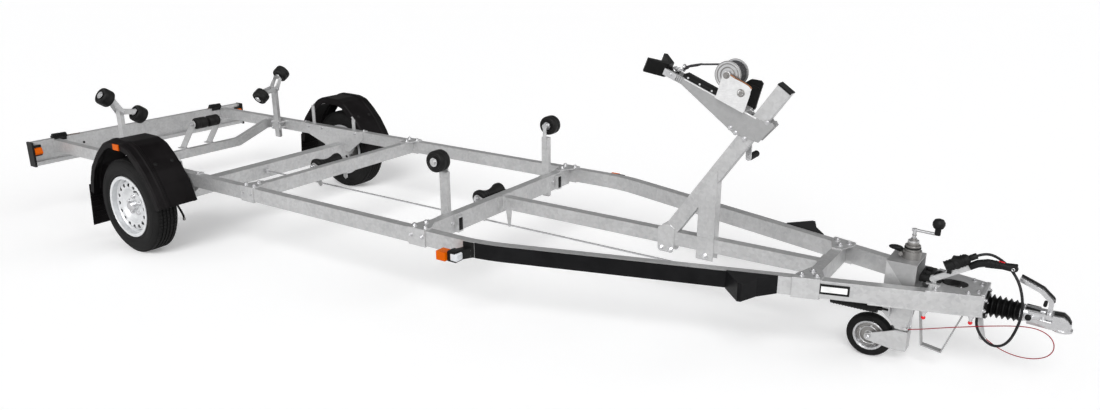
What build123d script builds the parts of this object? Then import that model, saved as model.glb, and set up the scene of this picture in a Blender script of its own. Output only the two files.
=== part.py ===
from build123d import *

import os
from math import asin, atan2, cos, degrees, hypot, pi, radians, sin, sqrt, tan

# Single-axle boat trailer: galvanised V-nosed frame on a rubber torsion axle, with keel rollers,
# side rollers, an inclined winch stand, an overrun coupling and a retracted jockey wheel.
#
# Everything is laid out in the trailer's own axes, in millimetres: X runs forward to the coupling
# from the wheel centres, Y to the left, and Z up from the plane under the tyres, parallel to the
# frame. At the end the whole trailer is tipped nose-down until the jockey wheel and both road
# tyres stand on the floor, and moved so that the origin is under the middle of its box.

# ---------------------------------------------------------------- driving dimensions
# Frame
FRAME_TOP = 505.0
BEAM_HEIGHT = 80.0
BEAM_WIDTH = 47.0
BEAM_WALL = 3.5
FRAME_WIDTH = 1428.0
BEND_X = 2565.0            # where the straight side beams would meet the V nose
NOSE_X = 4645.0            # front ends of the side beams
NOSE_HALF_WIDTH = 85.0     # outer faces at the front ends
BEND_RADIUS = 900.0
REAR_MEMBER_X = 860.0
MIDDLE_MEMBER_X = 2165.0
FRONT_MEMBER_X = 3995.0
MEMBER_DEPTH = 50.0
MIDDLE_MEMBER_HEIGHT = 98.0
CENTRE_BEAM_TOP = 497.0
CENTRE_BEAM_HEIGHT = 70.0
CENTRE_BEAM_WIDTH = 50.0
CLAMP_LENGTH = 110.0
CLAMP_PLATE = 6.0
CLAMP_REACH = 85.0
CLAMP_BOLT_RADIUS = 9.0
CLAMP_BOLT_HEIGHT = 9.0

# Axle and wheels
TYRE_DIAMETER = 596.0
TYRE_WIDTH = 168.0
TREAD_WIDTH = 136.0
SEAT_DIAMETER = 356.0
FLANGE_DIAMETER = 386.0
RIM_WIDTH = 150.0
RIM_WALL = 4.0
WHEEL_OUT = 166.0          # wheel's centre plane outside the frame
HUB_FACE_OUT = 28.0        # hub face outboard of the wheel's centre plane
AXLE_X = 140.0
AXLE_Z = 350.0
AXLE_SIZE = 90.0
AXLE_WALL = 6.0
ARM_THICKNESS = 26.0
STUB_RADIUS = 17.0
DRUM_RADIUS = 122.0
DRUM_WIDTH = 96.0
VENT_COUNT = 16
VENT_RADIUS = 12.5
VENT_RING = 133.0
NUT_COUNT = 5
NUT_RING = 56.0
RUNNING_GAP = 0.4

# Mudguards
GUARD_ARCH = [
    # X, Z of the bends in the arch, from the rear to the front
    (-384, 345), (-362, 430), (-322, 520), (-242, 612), (-150, 686), (-85, 712),
    (62, 708), (135, 686), (206, 624), (272, 552), (326, 468), (362, 396), (380, 350),
]
GUARD_BEND_RADIUS = 90.0
GUARD_GAP = 8.0            # between the frame and the mudguard
GUARD_WIDTH = 256.0
GUARD_WALL = 5.0
GUARD_SKIRT = 45.0
GUARD_STAY_SIDES = (3, 8)    # sides of the arch that the stays lie under
STAY_WIDTH = 32.0
STAY_THICKNESS = 6.0
STAY_GAP = 0.3
FLAP_BOTTOM = 107.0
FLAP_LEAN = 26.0

# Light beam at the rear
LIGHT_BEAM_X = -1310.0
LIGHT_BEAM_HALF = 858.0
LIGHT_BEAM_BOTTOM = 345.0
LIGHT_BEAM_TOP = 508.0
LIGHT_BEAM_DEPTH = 38.0
LIGHT_BEAM_WALL = 3.0
LIGHT_LEDGE = 26.0
LIGHT_LIP = 14.0

# Dropped crossbar, keel cradle and keel rollers
CROSSBAR_X = -640.0
CROSSBAR_DEPTH = 40.0
CROSSBAR_HEIGHT = 62.0
CROSSBAR_LOW_Z = 372.0
CROSSBAR_END_Z = 462.0
CROSSBAR_END_FLAT = 61.0   # level part at each end
CROSSBAR_RISE_WIDTH = 270.0
CRADLE_Y = -3.0
CRADLE_SIDE_GAP = 14.0     # from the cradle roller to the middle of an arm
CRADLE_AXLE_X = -515.0
CRADLE_AXLE_Z = 602.0
CRADLE_ROLLER_RADIUS = 40.0
CRADLE_ROLLER_HALF = 94.0
REAR_KEEL_Y = -30.0
MIDDLE_KEEL_Y = 0.0
KEEL_ROLLER_LENGTH = 200.0
KEEL_ROLLER_RADIUS = 45.0
KEEL_WAIST_RADIUS = 27.0
KEEL_AXLE_BACK = 62.0      # axle behind the rear face of its cross member
KEEL_AXLE_Z = 487.0
ROLLER_AXLE_RADIUS = 9.0
BRACKET_PLATE = 6.0

# Side rollers and their posts
POST_X_SIZE = 50.0
POST_Y_SIZE = 25.0
POST_WALL = 3.0
REAR_POST_X = -523.0
REAR_POST_GAP = 27.0       # between a rear post and its side beam
REAR_POST_ABOVE = 12.0     # post above the rocker pin
REAR_POST_FOOT = 372.0
MID_POST_TOP = 722.0
MID_POST_FOOT = 355.0
MID_POST_RIGHT_IN = 299.0  # from the frame's side to the post
MID_POST_LEFT_IN = 192.0
ROCKER_PIVOT_LEFT_Z = 749.0
ROCKER_PIVOT_RIGHT_Z = 779.0
ROCKER_TILT = 34.8
ROCKER_RISE = 42.0
ROCKER_SPREAD = 128.0
SIDE_ROLLER_RADIUS = 57.0
SIDE_ROLLER_END_RADIUS = 42.0
SIDE_ROLLER_LENGTH = 74.0
BAR_RADIUS = 8.0
MID_ROLLER_RISE = 66.0
MID_ROLLER_OUT = 44.0
MID_ROLLER_TILT = 18.0

# Winch stand on the centre beam
WINCH_FOOT = (3180.0, 430.0)      # X, Z of the post's axis at the foot
WINCH_TOP = (3745.0, 1247.0)      # X, Z of the post's axis at the cap
WINCH_POST_DEPTH = 70.0
BOW_STOP_BACK = 56.0        # back of the bow stop, ahead of the head's nose
WINCH_POST_WIDTH = 50.0
FOOT_PLATE_X = 3205.0
BRACE_X = 3418.0
BRACE_DEPTH = 88.0
BRACE_WALL = 4.0
BRACE_FOOT_Z = 385.0
SIDE_PLATE_WALL = 4.0
SIDE_PLATE_GAP = 0.5
DRUM_X = 3490.0
DRUM_Z = 1293.0
DRUM_FLANGE_RADIUS = 63.0
DRUM_CORE_RADIUS = 40.0
DRUM_LENGTH = 84.0
WINCH_CHEEK_Y = 56.0        # inner faces of the winch's cheeks

# Drawbar head
HEAD_REAR_X = 4440.0
FLOOR_REAR_X = 4235.0
HEAD_PLATE = 6.0
SLOT_X = 4540.0
SLOT_LENGTH = 66.0
SLOT_WIDTH = 58.0
SHAFT_Z = 448.0
SHAFT_RADIUS = 20.0
BELLOWS_FRONT_X = 4785.0
BELLOWS_RADIUS = 47.0
BELLOWS_FLANGE_RADIUS = 59.0
BELLOWS_NECK_RADIUS = 36.0
BELLOWS_RIBS = 5
COUPLING_TIP_X = 4966.0
COUPLING_TOP_Z = 469.0
BALL_RADIUS = 25.0
JOCKEY_BOX_REAR_X = 4265.0
JOCKEY_BOX_FRONT_X = 4388.0
JOCKEY_BOX_HALF = 90.0
JOCKEY_BOX_TOP = 588.0
JOCKEY_BOX_WALL = 5.0

# Jockey wheel
JOCKEY_X = 4345.0
SLEEVE_RADIUS = 30.0
SLEEVE_BOTTOM = 266.0
SLEEVE_TOP = 640.0
LEG_RADIUS = 24.0
LEG_TOP = 625.0
YOKE_TOP = 258.0
YOKE_PLATE = 5.0
JOCKEY_WHEEL_X = 4215.0
JOCKEY_WHEEL_Z = 197.0
JOCKEY_DIAMETER = 200.0
JOCKEY_WIDTH = 50.0
JOCKEY_RIM_RADIUS = 68.0
JOCKEY_SIDE_GAP = 6.0
JOCKEY_AXLE_RADIUS = 6.0

# Brake rod
BRAKE_ROD_Z = 356.0

# Cords
POWER_CABLE_DIAMETER = 11.0
BREAKAWAY_DIAMETER = 4.0
POWER_CABLE_ROUTE = [
    (4630, -40, 405), (4630, -40, 375), (4642, -43, 343), (4668, -48, 312), (4701, -53, 296),
    (4736, -59, 306), (4761, -65, 340), (4776, -70, 388), (4786, -74, 440), (4787, -74, 492),
    (4777, -64, 541), (4758, -48, 585), (4727, -34, 624), (4689, -30, 656), (4649, -38, 677),
    (4614, -52, 677), (4586, -60, 661),
]
BREAKAWAY_ROUTE = [
    (4379, -52, 282), (4431, -54, 298), (4484, -55, 317), (4539, -56, 336), (4595, -57, 354),
    (4650, -58, 372), (4705, -58, 388), (4759, -57, 402), (4808, -55, 411), (4851, -52, 410),
    (4887, -49, 396), (4911, -46, 369), (4917, -42, 334), (4903, -38, 302), (4873, -33, 279),
    (4832, -27, 265), (4785, -21, 262), (4740, -15, 269), (4703, -8, 282), (4674, 0, 296),
]

# ---------------------------------------------------------------- values worked out from them
BEAM_BOTTOM = FRAME_TOP - BEAM_HEIGHT
BEAM_MID_Z = FRAME_TOP - BEAM_HEIGHT / 2
BEAM_Y = FRAME_WIDTH / 2 - BEAM_WIDTH / 2
BEAM_INNER_Y = BEAM_Y - BEAM_WIDTH / 2
WHEEL_RADIUS = TYRE_DIAMETER / 2
NOSE_DEG = degrees(atan2(FRAME_WIDTH / 2 - NOSE_HALF_WIDTH, NOSE_X - BEND_X))
NOSE_BEAM_HALF = BEAM_WIDTH / 2 / cos(radians(NOSE_DEG))
NOSE_Y = NOSE_HALF_WIDTH - NOSE_BEAM_HALF
ROLLER_BORE = ROLLER_AXLE_RADIUS + RUNNING_GAP
FRAME_SIDE_Y = FRAME_WIDTH / 2
WHEEL_Y = FRAME_SIDE_Y + WHEEL_OUT
GUARD_INNER_Y = FRAME_SIDE_Y + GUARD_GAP
GUARD_OUTER_Y = GUARD_INNER_Y + GUARD_WIDTH
REAR_POST_Y = BEAM_INNER_Y - REAR_POST_GAP - POST_Y_SIZE / 2
MID_POST_RIGHT_Y = MID_POST_RIGHT_IN - FRAME_SIDE_Y
MID_POST_LEFT_Y = FRAME_SIDE_Y - MID_POST_LEFT_IN
CROSSBAR_END_Y = BEAM_INNER_Y - BRACKET_PLATE
CRADLE_HALF = CRADLE_ROLLER_HALF + CRADLE_SIDE_GAP
CENTRE_BEAM_BOTTOM = CENTRE_BEAM_TOP - CENTRE_BEAM_HEIGHT
JOCKEY_RADIUS = JOCKEY_DIAMETER / 2


def nose_y(x, offset=0.0):
    """Y of the left V beam's centre line at x, plus an offset measured square to the beam."""
    slope = tan(radians(NOSE_DEG))
    return NOSE_Y + (NOSE_X - x) * slope + offset / cos(radians(NOSE_DEG))


def parked_angle():
    """Nose-down angle at which the jockey wheel and the road tyres stand on one floor."""
    dx = JOCKEY_WHEEL_X
    dz = JOCKEY_WHEEL_Z - WHEEL_RADIUS
    return degrees(atan2(dz, dx) + asin((WHEEL_RADIUS - JOCKEY_RADIUS) / hypot(dx, dz)))


# ---------------------------------------------------------------- shape helpers
def block(x0, x1, y0, y1, z0, z1):
    """A box given by its faces."""
    return Pos((x0 + x1) / 2, (y0 + y1) / 2, (z0 + z1) / 2) * Box(abs(x1 - x0), abs(y1 - y0), abs(z1 - z0))


def rod(start, end, radius):
    """A round bar between two points."""
    line = Vector(*end) - Vector(*start)
    plane = Plane(origin=start, z_dir=line.normalized())
    return extrude(plane * Circle(radius), amount=line.length)


def pipe(start, end, outer, inner):
    """A round tube between two points."""
    return rod(start, end, outer) - rod(start, end, inner)


def side_plate(points, y0, y1):
    """A plate lying in XZ, given by (x, z) corners, from y0 to y1."""
    outline = Polyline([(x, y0, z) for x, z in points], close=True)
    return extrude(make_face(outline), amount=y1 - y0, dir=(0, 1, 0))


def floor_plate(points, z0, z1):
    """A plate lying in XY, given by (x, y) corners, from z0 to z1."""
    outline = Polyline([(x, y, z0) for x, y in points], close=True)
    return extrude(make_face(outline), amount=z1 - z0, dir=(0, 0, 1))


def cross_plate(points, x0, x1):
    """A plate lying in YZ, given by (y, z) corners, from x0 to x1."""
    outline = Polyline([(x0, y, z) for y, z in points], close=True)
    return extrude(make_face(outline), amount=x1 - x0, dir=(1, 0, 0))


def folded(points, wall):
    """Closed outline of a bent sheet: one face, and the other a wall to the left of it."""
    sides = []
    for a, b in zip(points, points[1:]):
        length = hypot(b[0] - a[0], b[1] - a[1])
        sides.append(((a[1] - b[1]) / length, (b[0] - a[0]) / length))
    other = []
    for i, point in enumerate(points):
        n0 = sides[max(i - 1, 0)]
        n1 = sides[min(i, len(sides) - 1)]
        scale_by = wall / (1 + n0[0] * n1[0] + n0[1] * n1[1])
        other.append((point[0] + scale_by * (n0[0] + n1[0]), point[1] + scale_by * (n0[1] + n1[1])))
    return list(points) + other[::-1]


def turned(profile, centre, axis_dir):
    """A solid turned from a closed (radius, along) profile about an axis through centre."""
    way = Vector(*axis_dir).normalized()
    side = Vector(1, 0, 0) if abs(way.X) < 0.9 else Vector(0, 0, 1)
    side = (side - way * side.dot(way)).normalized()
    flat = Plane(origin=centre, x_dir=side, z_dir=side.cross(way))
    face = make_face(flat * Polyline([(r, a) for r, a in profile], close=True))
    return revolve(face, axis=Axis(centre, axis_dir))


def mirrored(shape):
    """The same piece on the other side of the trailer."""
    return mirror(shape, about=Plane.XZ)


def joined(*solids):
    """Several separate solids as one node."""
    flat = [piece for item in solids for piece in item.solids()]
    return Compound(flat)


def box_tube(x0, x1, y0, y1, z0, z1, wall, along):
    """A rectangular tube open at both ends along one axis."""
    grow = {axis: (1.0 if axis == along else -wall) for axis in "xyz"}
    inner = block(
        x0 - grow["x"], x1 + grow["x"], y0 - grow["y"], y1 + grow["y"], z0 - grow["z"], z1 + grow["z"]
    )
    return block(x0, x1, y0, y1, z0, z1) - inner


# ---------------------------------------------------------------- frame
def straight_y(x, offset=0.0):
    """Y of the left side beam's centre line where it is straight, plus an offset."""
    return BEAM_Y + offset


def beam_strip(start_x, end_x, low, high, z0, z1):
    """A strip that follows the left side beam, between two offsets from its centre line."""
    turn = radians(NOSE_DEG)
    bend_x = BEND_X - BEAM_WIDTH / 2 * tan(turn / 2)
    tangent = BEND_RADIUS * tan(turn / 2)
    centre_x = bend_x - tangent
    centre_y = BEAM_Y - BEND_RADIUS

    def edge(offset):
        radius = BEND_RADIUS + offset
        return [
            (start_x, BEAM_Y + offset, z0),
            (centre_x, centre_y + radius, z0),
            (centre_x + radius * sin(turn / 2), centre_y + radius * cos(turn / 2), z0),
            (centre_x + radius * sin(turn), centre_y + radius * cos(turn), z0),
            (end_x, nose_y(end_x, offset), z0),
        ]

    inner = edge(low)
    outer = edge(high)
    if start_x > centre_x + BEND_RADIUS * sin(turn):
        plan = [inner[0], inner[4], outer[4], outer[0]]
        return extrude(make_face(Polyline(plan, close=True)), amount=z1 - z0, dir=(0, 0, 1))
    lines = [
        Line(inner[0], inner[1]),
        ThreePointArc(inner[1], inner[2], inner[3]),
        Line(inner[3], inner[4]),
        Line(inner[4], outer[4]),
        Line(outer[4], outer[3]),
        ThreePointArc(outer[3], outer[2], outer[1]),
        Line(outer[1], outer[0]),
        Line(outer[0], inner[0]),
    ]
    return extrude(make_face(Wire(lines)), amount=z1 - z0, dir=(0, 0, 1))


def side_beam():
    """The left side beam: straight beside the wheels, then bent in to the nose."""
    half = BEAM_WIDTH / 2
    start_x = LIGHT_BEAM_X + LIGHT_BEAM_WALL
    outer = beam_strip(start_x, NOSE_X, -half, half, BEAM_BOTTOM, FRAME_TOP)
    inner = beam_strip(
        start_x - 5, NOSE_X + 5, BEAM_WALL - half, half - BEAM_WALL,
        BEAM_BOTTOM + BEAM_WALL, FRAME_TOP - BEAM_WALL,
    )
    return outer - inner


def straight_member(centre_x, height):
    """A square-ended cross member between the straight beams."""
    return box_tube(
        centre_x - MEMBER_DEPTH / 2, centre_x + MEMBER_DEPTH / 2, -BEAM_INNER_Y, BEAM_INNER_Y,
        FRAME_TOP - height, FRAME_TOP, BEAM_WALL, "y",
    )


def front_member():
    """The front cross member, its ends cut to the V of the nose."""
    x0 = FRONT_MEMBER_X - MEMBER_DEPTH / 2
    x1 = FRONT_MEMBER_X + MEMBER_DEPTH / 2
    inside = -BEAM_WIDTH / 2

    def plan(a, b, grow):
        return [
            (a, nose_y(a, inside) + grow), (b, nose_y(b, inside) + grow),
            (b, -nose_y(b, inside) - grow), (a, -nose_y(a, inside) - grow),
        ]

    outer = floor_plate(plan(x0, x1, 0.0), BEAM_BOTTOM, FRAME_TOP)
    hollow = floor_plate(
        plan(x0 + BEAM_WALL, x1 - BEAM_WALL, 5.0), BEAM_BOTTOM + BEAM_WALL, FRAME_TOP - BEAM_WALL
    )
    return outer - hollow


def centre_beam():
    """The beam on the centre line, with its end plates and the drop tab at its rear end."""
    rear = MIDDLE_MEMBER_X + MEMBER_DEPTH / 2
    front = FRONT_MEMBER_X - MEMBER_DEPTH / 2
    half = CENTRE_BEAM_WIDTH / 2
    tube = box_tube(
        rear + CLAMP_PLATE, front - CLAMP_PLATE, -half, half,
        CENTRE_BEAM_BOTTOM, CENTRE_BEAM_TOP, BEAM_WALL, "x",
    )
    rear_plate = block(rear, rear + CLAMP_PLATE, -half - 42, half + 42, FRAME_TOP - 90, FRAME_TOP - 3)
    front_plate = block(front - CLAMP_PLATE, front, -half - 30, half + 30, BEAM_BOTTOM, FRAME_TOP)
    tab_x = rear + 30
    tab = side_plate(
        [
            (tab_x, CENTRE_BEAM_TOP - 20), (tab_x + 36, CENTRE_BEAM_TOP - 20),
            (tab_x + 36, CENTRE_BEAM_BOTTOM - 10), (tab_x + 26, CENTRE_BEAM_BOTTOM - 96),
            (tab_x + 14, CENTRE_BEAM_BOTTOM - 96), (tab_x, CENTRE_BEAM_BOTTOM - 10),
        ],
        -half - CLAMP_PLATE, -half,
    )
    return tube + rear_plate + front_plate + tab


def frame_clamp(centre_x, member_x, outer_edge, inner_edge):
    """The folded plate that joins one left beam to a cross member."""
    x0 = centre_x - CLAMP_LENGTH / 2
    x1 = centre_x + CLAMP_LENGTH / 2
    foot = [(x0, outer_edge(x0)), (x1, outer_edge(x1)), (x1, inner_edge(x1)), (x0, inner_edge(x0))]
    reach_y = inner_edge(member_x) - CLAMP_REACH
    gusset = [
        foot[0], foot[1], foot[2], (member_x + MEMBER_DEPTH / 2 - 2, reach_y),
        (member_x - MEMBER_DEPTH / 2 + 2, reach_y), foot[3],
    ]
    face = [
        foot[0], foot[1], (x1, outer_edge(x1) + CLAMP_PLATE), (x0, outer_edge(x0) + CLAMP_PLATE)
    ]
    top = floor_plate(gusset, FRAME_TOP, FRAME_TOP + CLAMP_PLATE)
    bottom = floor_plate(foot, BEAM_BOTTOM - CLAMP_PLATE, BEAM_BOTTOM)
    side = floor_plate(face, BEAM_BOTTOM - CLAMP_PLATE, FRAME_TOP + CLAMP_PLATE)
    return side + top + bottom


def frame_clamps():
    """Six folded plates, one at each end of each cross member."""
    half = BEAM_WIDTH / 2
    rows = [
        # centre x, member x, edge line
        (REAR_MEMBER_X + 3, REAR_MEMBER_X, straight_y),
        (MIDDLE_MEMBER_X + 16, MIDDLE_MEMBER_X, straight_y),
        (FRONT_MEMBER_X, FRONT_MEMBER_X, nose_y),
    ]
    clamps = []
    for centre_x, member_x, line in rows:
        clamp = frame_clamp(
            centre_x, member_x, lambda x, f=line: f(x, half), lambda x, f=line: f(x, -half)
        )
        clamps += [clamp, mirrored(clamp)]
    return joined(*clamps)


# ---------------------------------------------------------------- axle and wheels
def torsion_axle():
    """Square axle tube, trailing arms, brake backplates and stub axles."""
    half = AXLE_SIZE / 2
    arm_y0 = WHEEL_Y - DRUM_WIDTH - 50
    arm_y1 = arm_y0 + ARM_THICKNESS
    drum_open_y = WHEEL_Y - DRUM_WIDTH
    tube = box_tube(
        AXLE_X - half, AXLE_X + half, -arm_y0, arm_y0, AXLE_Z - half, AXLE_Z + half, AXLE_WALL, "y"
    )
    parts = [tube]
    arm = link((AXLE_X, AXLE_Z), (0, WHEEL_RADIUS), half, 36, arm_y0, arm_y1)
    plate = rod((0, arm_y1, WHEEL_RADIUS), (0, drum_open_y - 6, WHEEL_RADIUS), DRUM_RADIUS - 4)
    stub_end = WHEEL_Y + 50
    stub = rod((0, arm_y1, WHEEL_RADIUS), (0, stub_end, WHEEL_RADIUS), STUB_RADIUS)
    shoulder = rod((0, arm_y1, WHEEL_RADIUS), (0, drum_open_y + 4, WHEEL_RADIUS), STUB_RADIUS + 12)
    side = arm + plate + stub + shoulder
    return tube + side + mirrored(side)


def axle_brackets():
    """The plates that hang the axle tube from the side beams."""
    half = AXLE_SIZE / 2
    inner = BEAM_INNER_Y
    top = FRAME_TOP
    low = AXLE_Z - 10
    outline = [
        (AXLE_X - 415, top), (AXLE_X + 245, top), (AXLE_X + 245, top - 55), (AXLE_X + 90, low),
        (AXLE_X + half, low), (AXLE_X + half, AXLE_Z + half), (AXLE_X - half, AXLE_Z + half),
        (AXLE_X - half, low), (AXLE_X - 90, low), (AXLE_X - 415, top - 55),
    ]
    plate = side_plate(outline, inner - BRACKET_PLATE, inner)
    straps = []
    for x in (AXLE_X - 400, AXLE_X + 230):
        straps.append(
            block(x - 15, x + 15, inner - BRACKET_PLATE, inner + BEAM_WIDTH, top, top + BRACKET_PLATE)
        )
    bracket = plate + straps[0] + straps[1]
    return joined(bracket, mirrored(bracket))


def link(start, end, start_radius, end_radius, y0, y1):
    """A flat link in XZ with round ends, from y0 to y1."""
    dx = end[0] - start[0]
    dz = end[1] - start[1]
    length = hypot(dx, dz)
    nx = -dz / length
    nz = dx / length
    web = side_plate(
        [
            (start[0] + nx * start_radius, start[1] + nz * start_radius),
            (end[0] + nx * end_radius, end[1] + nz * end_radius),
            (end[0] - nx * end_radius, end[1] - nz * end_radius),
            (start[0] - nx * start_radius, start[1] - nz * start_radius),
        ],
        y0, y1,
    )
    first = rod((start[0], y0, start[1]), (start[0], y1, start[1]), start_radius)
    second = rod((end[0], y0, end[1]), (end[0], y1, end[1]), end_radius)
    return web + first + second


def wheel_tyre():
    """The left road tyre, as a closed ring over the rim's seats."""
    seat = SEAT_DIAMETER / 2 + 0.3
    flange = FLANGE_DIAMETER / 2
    half = TYRE_WIDTH / 2
    edge = RIM_WIDTH / 2
    tread = TREAD_WIDTH / 2
    side = [
        (seat, edge - 9), (flange + 1, edge - 2.5), (flange + 36, half),
        (WHEEL_RADIUS - 18, half - 6), (WHEEL_RADIUS, tread - 16),
    ]
    profile = [(r, -a) for r, a in side] + [(r, a) for r, a in side[::-1]]
    return turned(profile, (0, WHEEL_Y, WHEEL_RADIUS), (0, 1, 0))


def wheel_rim():
    """The left rim: rolled barrel, dished disc with vent holes, and stud holes with their nuts."""
    seat = SEAT_DIAMETER / 2
    flange = FLANGE_DIAMETER / 2
    edge = RIM_WIDTH / 2
    well = seat - 14
    wall = RIM_WALL
    outer = [
        (flange, edge + 3), (flange, edge - 2), (seat, edge - 7), (seat, edge - 27), (well, edge - 40),
    ]
    inner = [
        (seat - wall, edge + 3), (seat - wall, edge - 29), (well - wall, edge - 42),
    ]
    barrel = turned(
        outer + [(r, -a) for r, a in outer[::-1]] + [(r, -a) for r, a in inner]
        + [(r, a) for r, a in inner[::-1]],
        (0, WHEEL_Y, WHEEL_RADIUS), (0, 1, 0),
    )
    face = HUB_FACE_OUT
    front = [
        (well - wall + 1, face - 6), (well - 12, face + 20), (VENT_RING, face + 29),
        (VENT_RING - 22, face + 23), (VENT_RING - 45, face + 5), (78, face + 2), (31, face + 2),
    ]
    disc = turned(folded(front, 4.0), (0, WHEEL_Y, WHEEL_RADIUS), (0, 1, 0))
    rim = barrel + disc
    vents = []
    for place in polar_places(VENT_RING, VENT_COUNT):
        vents.append(place_hole(place, VENT_RADIUS, WHEEL_Y + face - 20, WHEEL_Y + face + 40))
    rim -= vents
    nuts = []
    for place in polar_places(NUT_RING, NUT_COUNT):
        nuts.append(place_hole(place, 10.0, WHEEL_Y + face - 1, WHEEL_Y + face + 16))
    return rim + nuts


def polar_places(ring, count):
    """Points (x, z) spaced round the wheel centre."""
    step = 2 * pi / count
    return [(ring * sin(step * i), WHEEL_RADIUS + ring * cos(step * i)) for i in range(count)]


def place_hole(place, radius, y0, y1):
    """A cylinder along Y at an (x, z) place."""
    return rod((place[0], y0, place[1]), (place[0], y1, place[1]), radius)


def wheel_hub():
    """The left brake drum with its hub, bearing bore and grease cap."""
    face = HUB_FACE_OUT - 2
    bore = STUB_RADIUS + RUNNING_GAP
    outer = DRUM_RADIUS
    open_a = -DRUM_WIDTH
    profile = [
        (0, 52), (0, face + 44), (20, face + 44), (27, face + 39), (30, face + 30), (30, face),
        (76, face), (76, face - 13), (outer - 10, face - 18), (outer, face - 24), (outer, open_a),
        (outer - 9, open_a), (outer - 9, face - 28), (44, face - 26), (38, face - 32),
        (38, open_a + 14), (bore, open_a + 14), (bore, 52),
    ]
    return turned(profile, (0, WHEEL_Y, WHEEL_RADIUS), (0, 1, 0))


# ---------------------------------------------------------------- mudguards
def guard_side(index):
    """Middle point of one side of the arch, and its slope in degrees above the X axis."""
    (x0, z0), (x1, z1) = GUARD_ARCH[index], GUARD_ARCH[index + 1]
    return (x0 + x1) / 2, (z0 + z1) / 2, degrees(atan2(z1 - z0, x1 - x0))


def stay_arm(index, grow):
    """The flat arm of one stay under a side of the arch, made larger all round by grow."""
    x, z, slope = guard_side(index)
    half = STAY_WIDTH / 2
    top = -GUARD_WALL - STAY_GAP
    arm = block(
        -half - grow, half + grow, BEAM_Y + BEAM_WIDTH / 2, GUARD_OUTER_Y - 80 + grow,
        top - STAY_THICKNESS - grow, top + grow,
    )
    return Pos(x, 0, z) * Rot(0, -slope, 0) * arm


def mudguard():
    """The left mudguard: an arched sheet with a skirt along both edges and a raised rib, and its
    rubber flap."""
    wall = GUARD_WALL
    section = [
        (-GUARD_SKIRT, GUARD_OUTER_Y), (-12, GUARD_OUTER_Y), (-3, GUARD_OUTER_Y - 8),
        (-1, GUARD_OUTER_Y - 40), (6, GUARD_OUTER_Y - 46), (6, GUARD_OUTER_Y - 66),
        (0, GUARD_OUTER_Y - 74), (0, GUARD_INNER_Y + 8), (-8, GUARD_INNER_Y), (-GUARD_SKIRT, GUARD_INNER_Y),
    ]
    path = FilletPolyline([(x, 0, z) for x, z in GUARD_ARCH], radius=GUARD_BEND_RADIUS)
    rear = GUARD_ARCH[0]
    way = Vector(GUARD_ARCH[1][0] - rear[0], 0, GUARD_ARCH[1][1] - rear[1]).normalized()
    plane = Plane(origin=(rear[0], 0, rear[1]), x_dir=(-way.Z, 0, way.X), z_dir=(way.X, 0, way.Z))
    upright = -1 if plane.y_dir.Y < 0 else 1
    face = make_face(plane * Polyline([(out, upright * y) for out, y in folded(section, -wall)], close=True))
    guard = sweep(face, path=path)
    for index in GUARD_STAY_SIDES:
        guard -= stay_arm(index, STAY_GAP / 2)
    low = (rear[0] - FLAP_LEAN, FLAP_BOTTOM)
    flap = side_plate(
        [(rear[0], rear[1] + 40), low, (low[0] - wall, low[1]), (rear[0] - wall, rear[1] + 40)],
        GUARD_INNER_Y + 13, GUARD_OUTER_Y - 3,
    )
    return guard + flap


def mudguard_stays():
    """Flat stays from the side beams, two under each mudguard."""
    outer = BEAM_Y + BEAM_WIDTH / 2
    half = STAY_WIDTH / 2
    stays = []
    for index in GUARD_STAY_SIDES:
        x, z, slope = guard_side(index)
        upright = block(x - half, x + half, outer, outer + STAY_THICKNESS, BEAM_BOTTOM + 8, z - 12)
        stay = stay_arm(index, 0.0) + upright
        stays += [stay, mirrored(stay)]
    return joined(*stays)


# ---------------------------------------------------------------- light beam
def light_beam():
    """The folded sheet across the rear that carries the lamps."""
    x = LIGHT_BEAM_X
    wall = LIGHT_BEAM_WALL
    section = [
        (x + LIGHT_LEDGE, LIGHT_BEAM_BOTTOM + LIGHT_LIP + 12), (x + LIGHT_LEDGE, LIGHT_BEAM_BOTTOM),
        (x, LIGHT_BEAM_BOTTOM), (x, LIGHT_BEAM_TOP), (x - LIGHT_BEAM_DEPTH, LIGHT_BEAM_TOP),
        (x - LIGHT_BEAM_DEPTH, LIGHT_BEAM_TOP - LIGHT_LIP),
    ]
    return side_plate(folded(section, -wall), -LIGHT_BEAM_HALF, LIGHT_BEAM_HALF)


def light_beam_caps():
    """Moulded end caps of the light beam, and the saddles that hold the lamp cables."""
    x = LIGHT_BEAM_X
    solids = []
    cap = block(
        x - LIGHT_BEAM_DEPTH - 4, x + LIGHT_LEDGE + 4, LIGHT_BEAM_HALF, LIGHT_BEAM_HALF + 14,
        LIGHT_BEAM_BOTTOM - 6, LIGHT_BEAM_TOP + 6,
    )
    solids += [cap, mirrored(cap)]
    top = LIGHT_BEAM_TOP + LIGHT_BEAM_WALL
    for y in (-655.0, 636.0):
        base = block(x - 36, x - 2, y - 52, y + 52, top, top + 16)
        clip = block(x - 30, x - 8, y + 8, y + 50, top + 16, top + 28)
        solids.append(base + clip)
    return joined(*solids)


def tail_lamps():
    """Two rear lamp units behind the light beam."""
    x = LIGHT_BEAM_X
    unit = block(x - 56, x, LIGHT_BEAM_HALF - 275, LIGHT_BEAM_HALF - 35, 366, 486)
    unit = fillet(unit.edges().filter_by(Axis.X), 14)
    return joined(unit, mirrored(unit))


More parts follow.
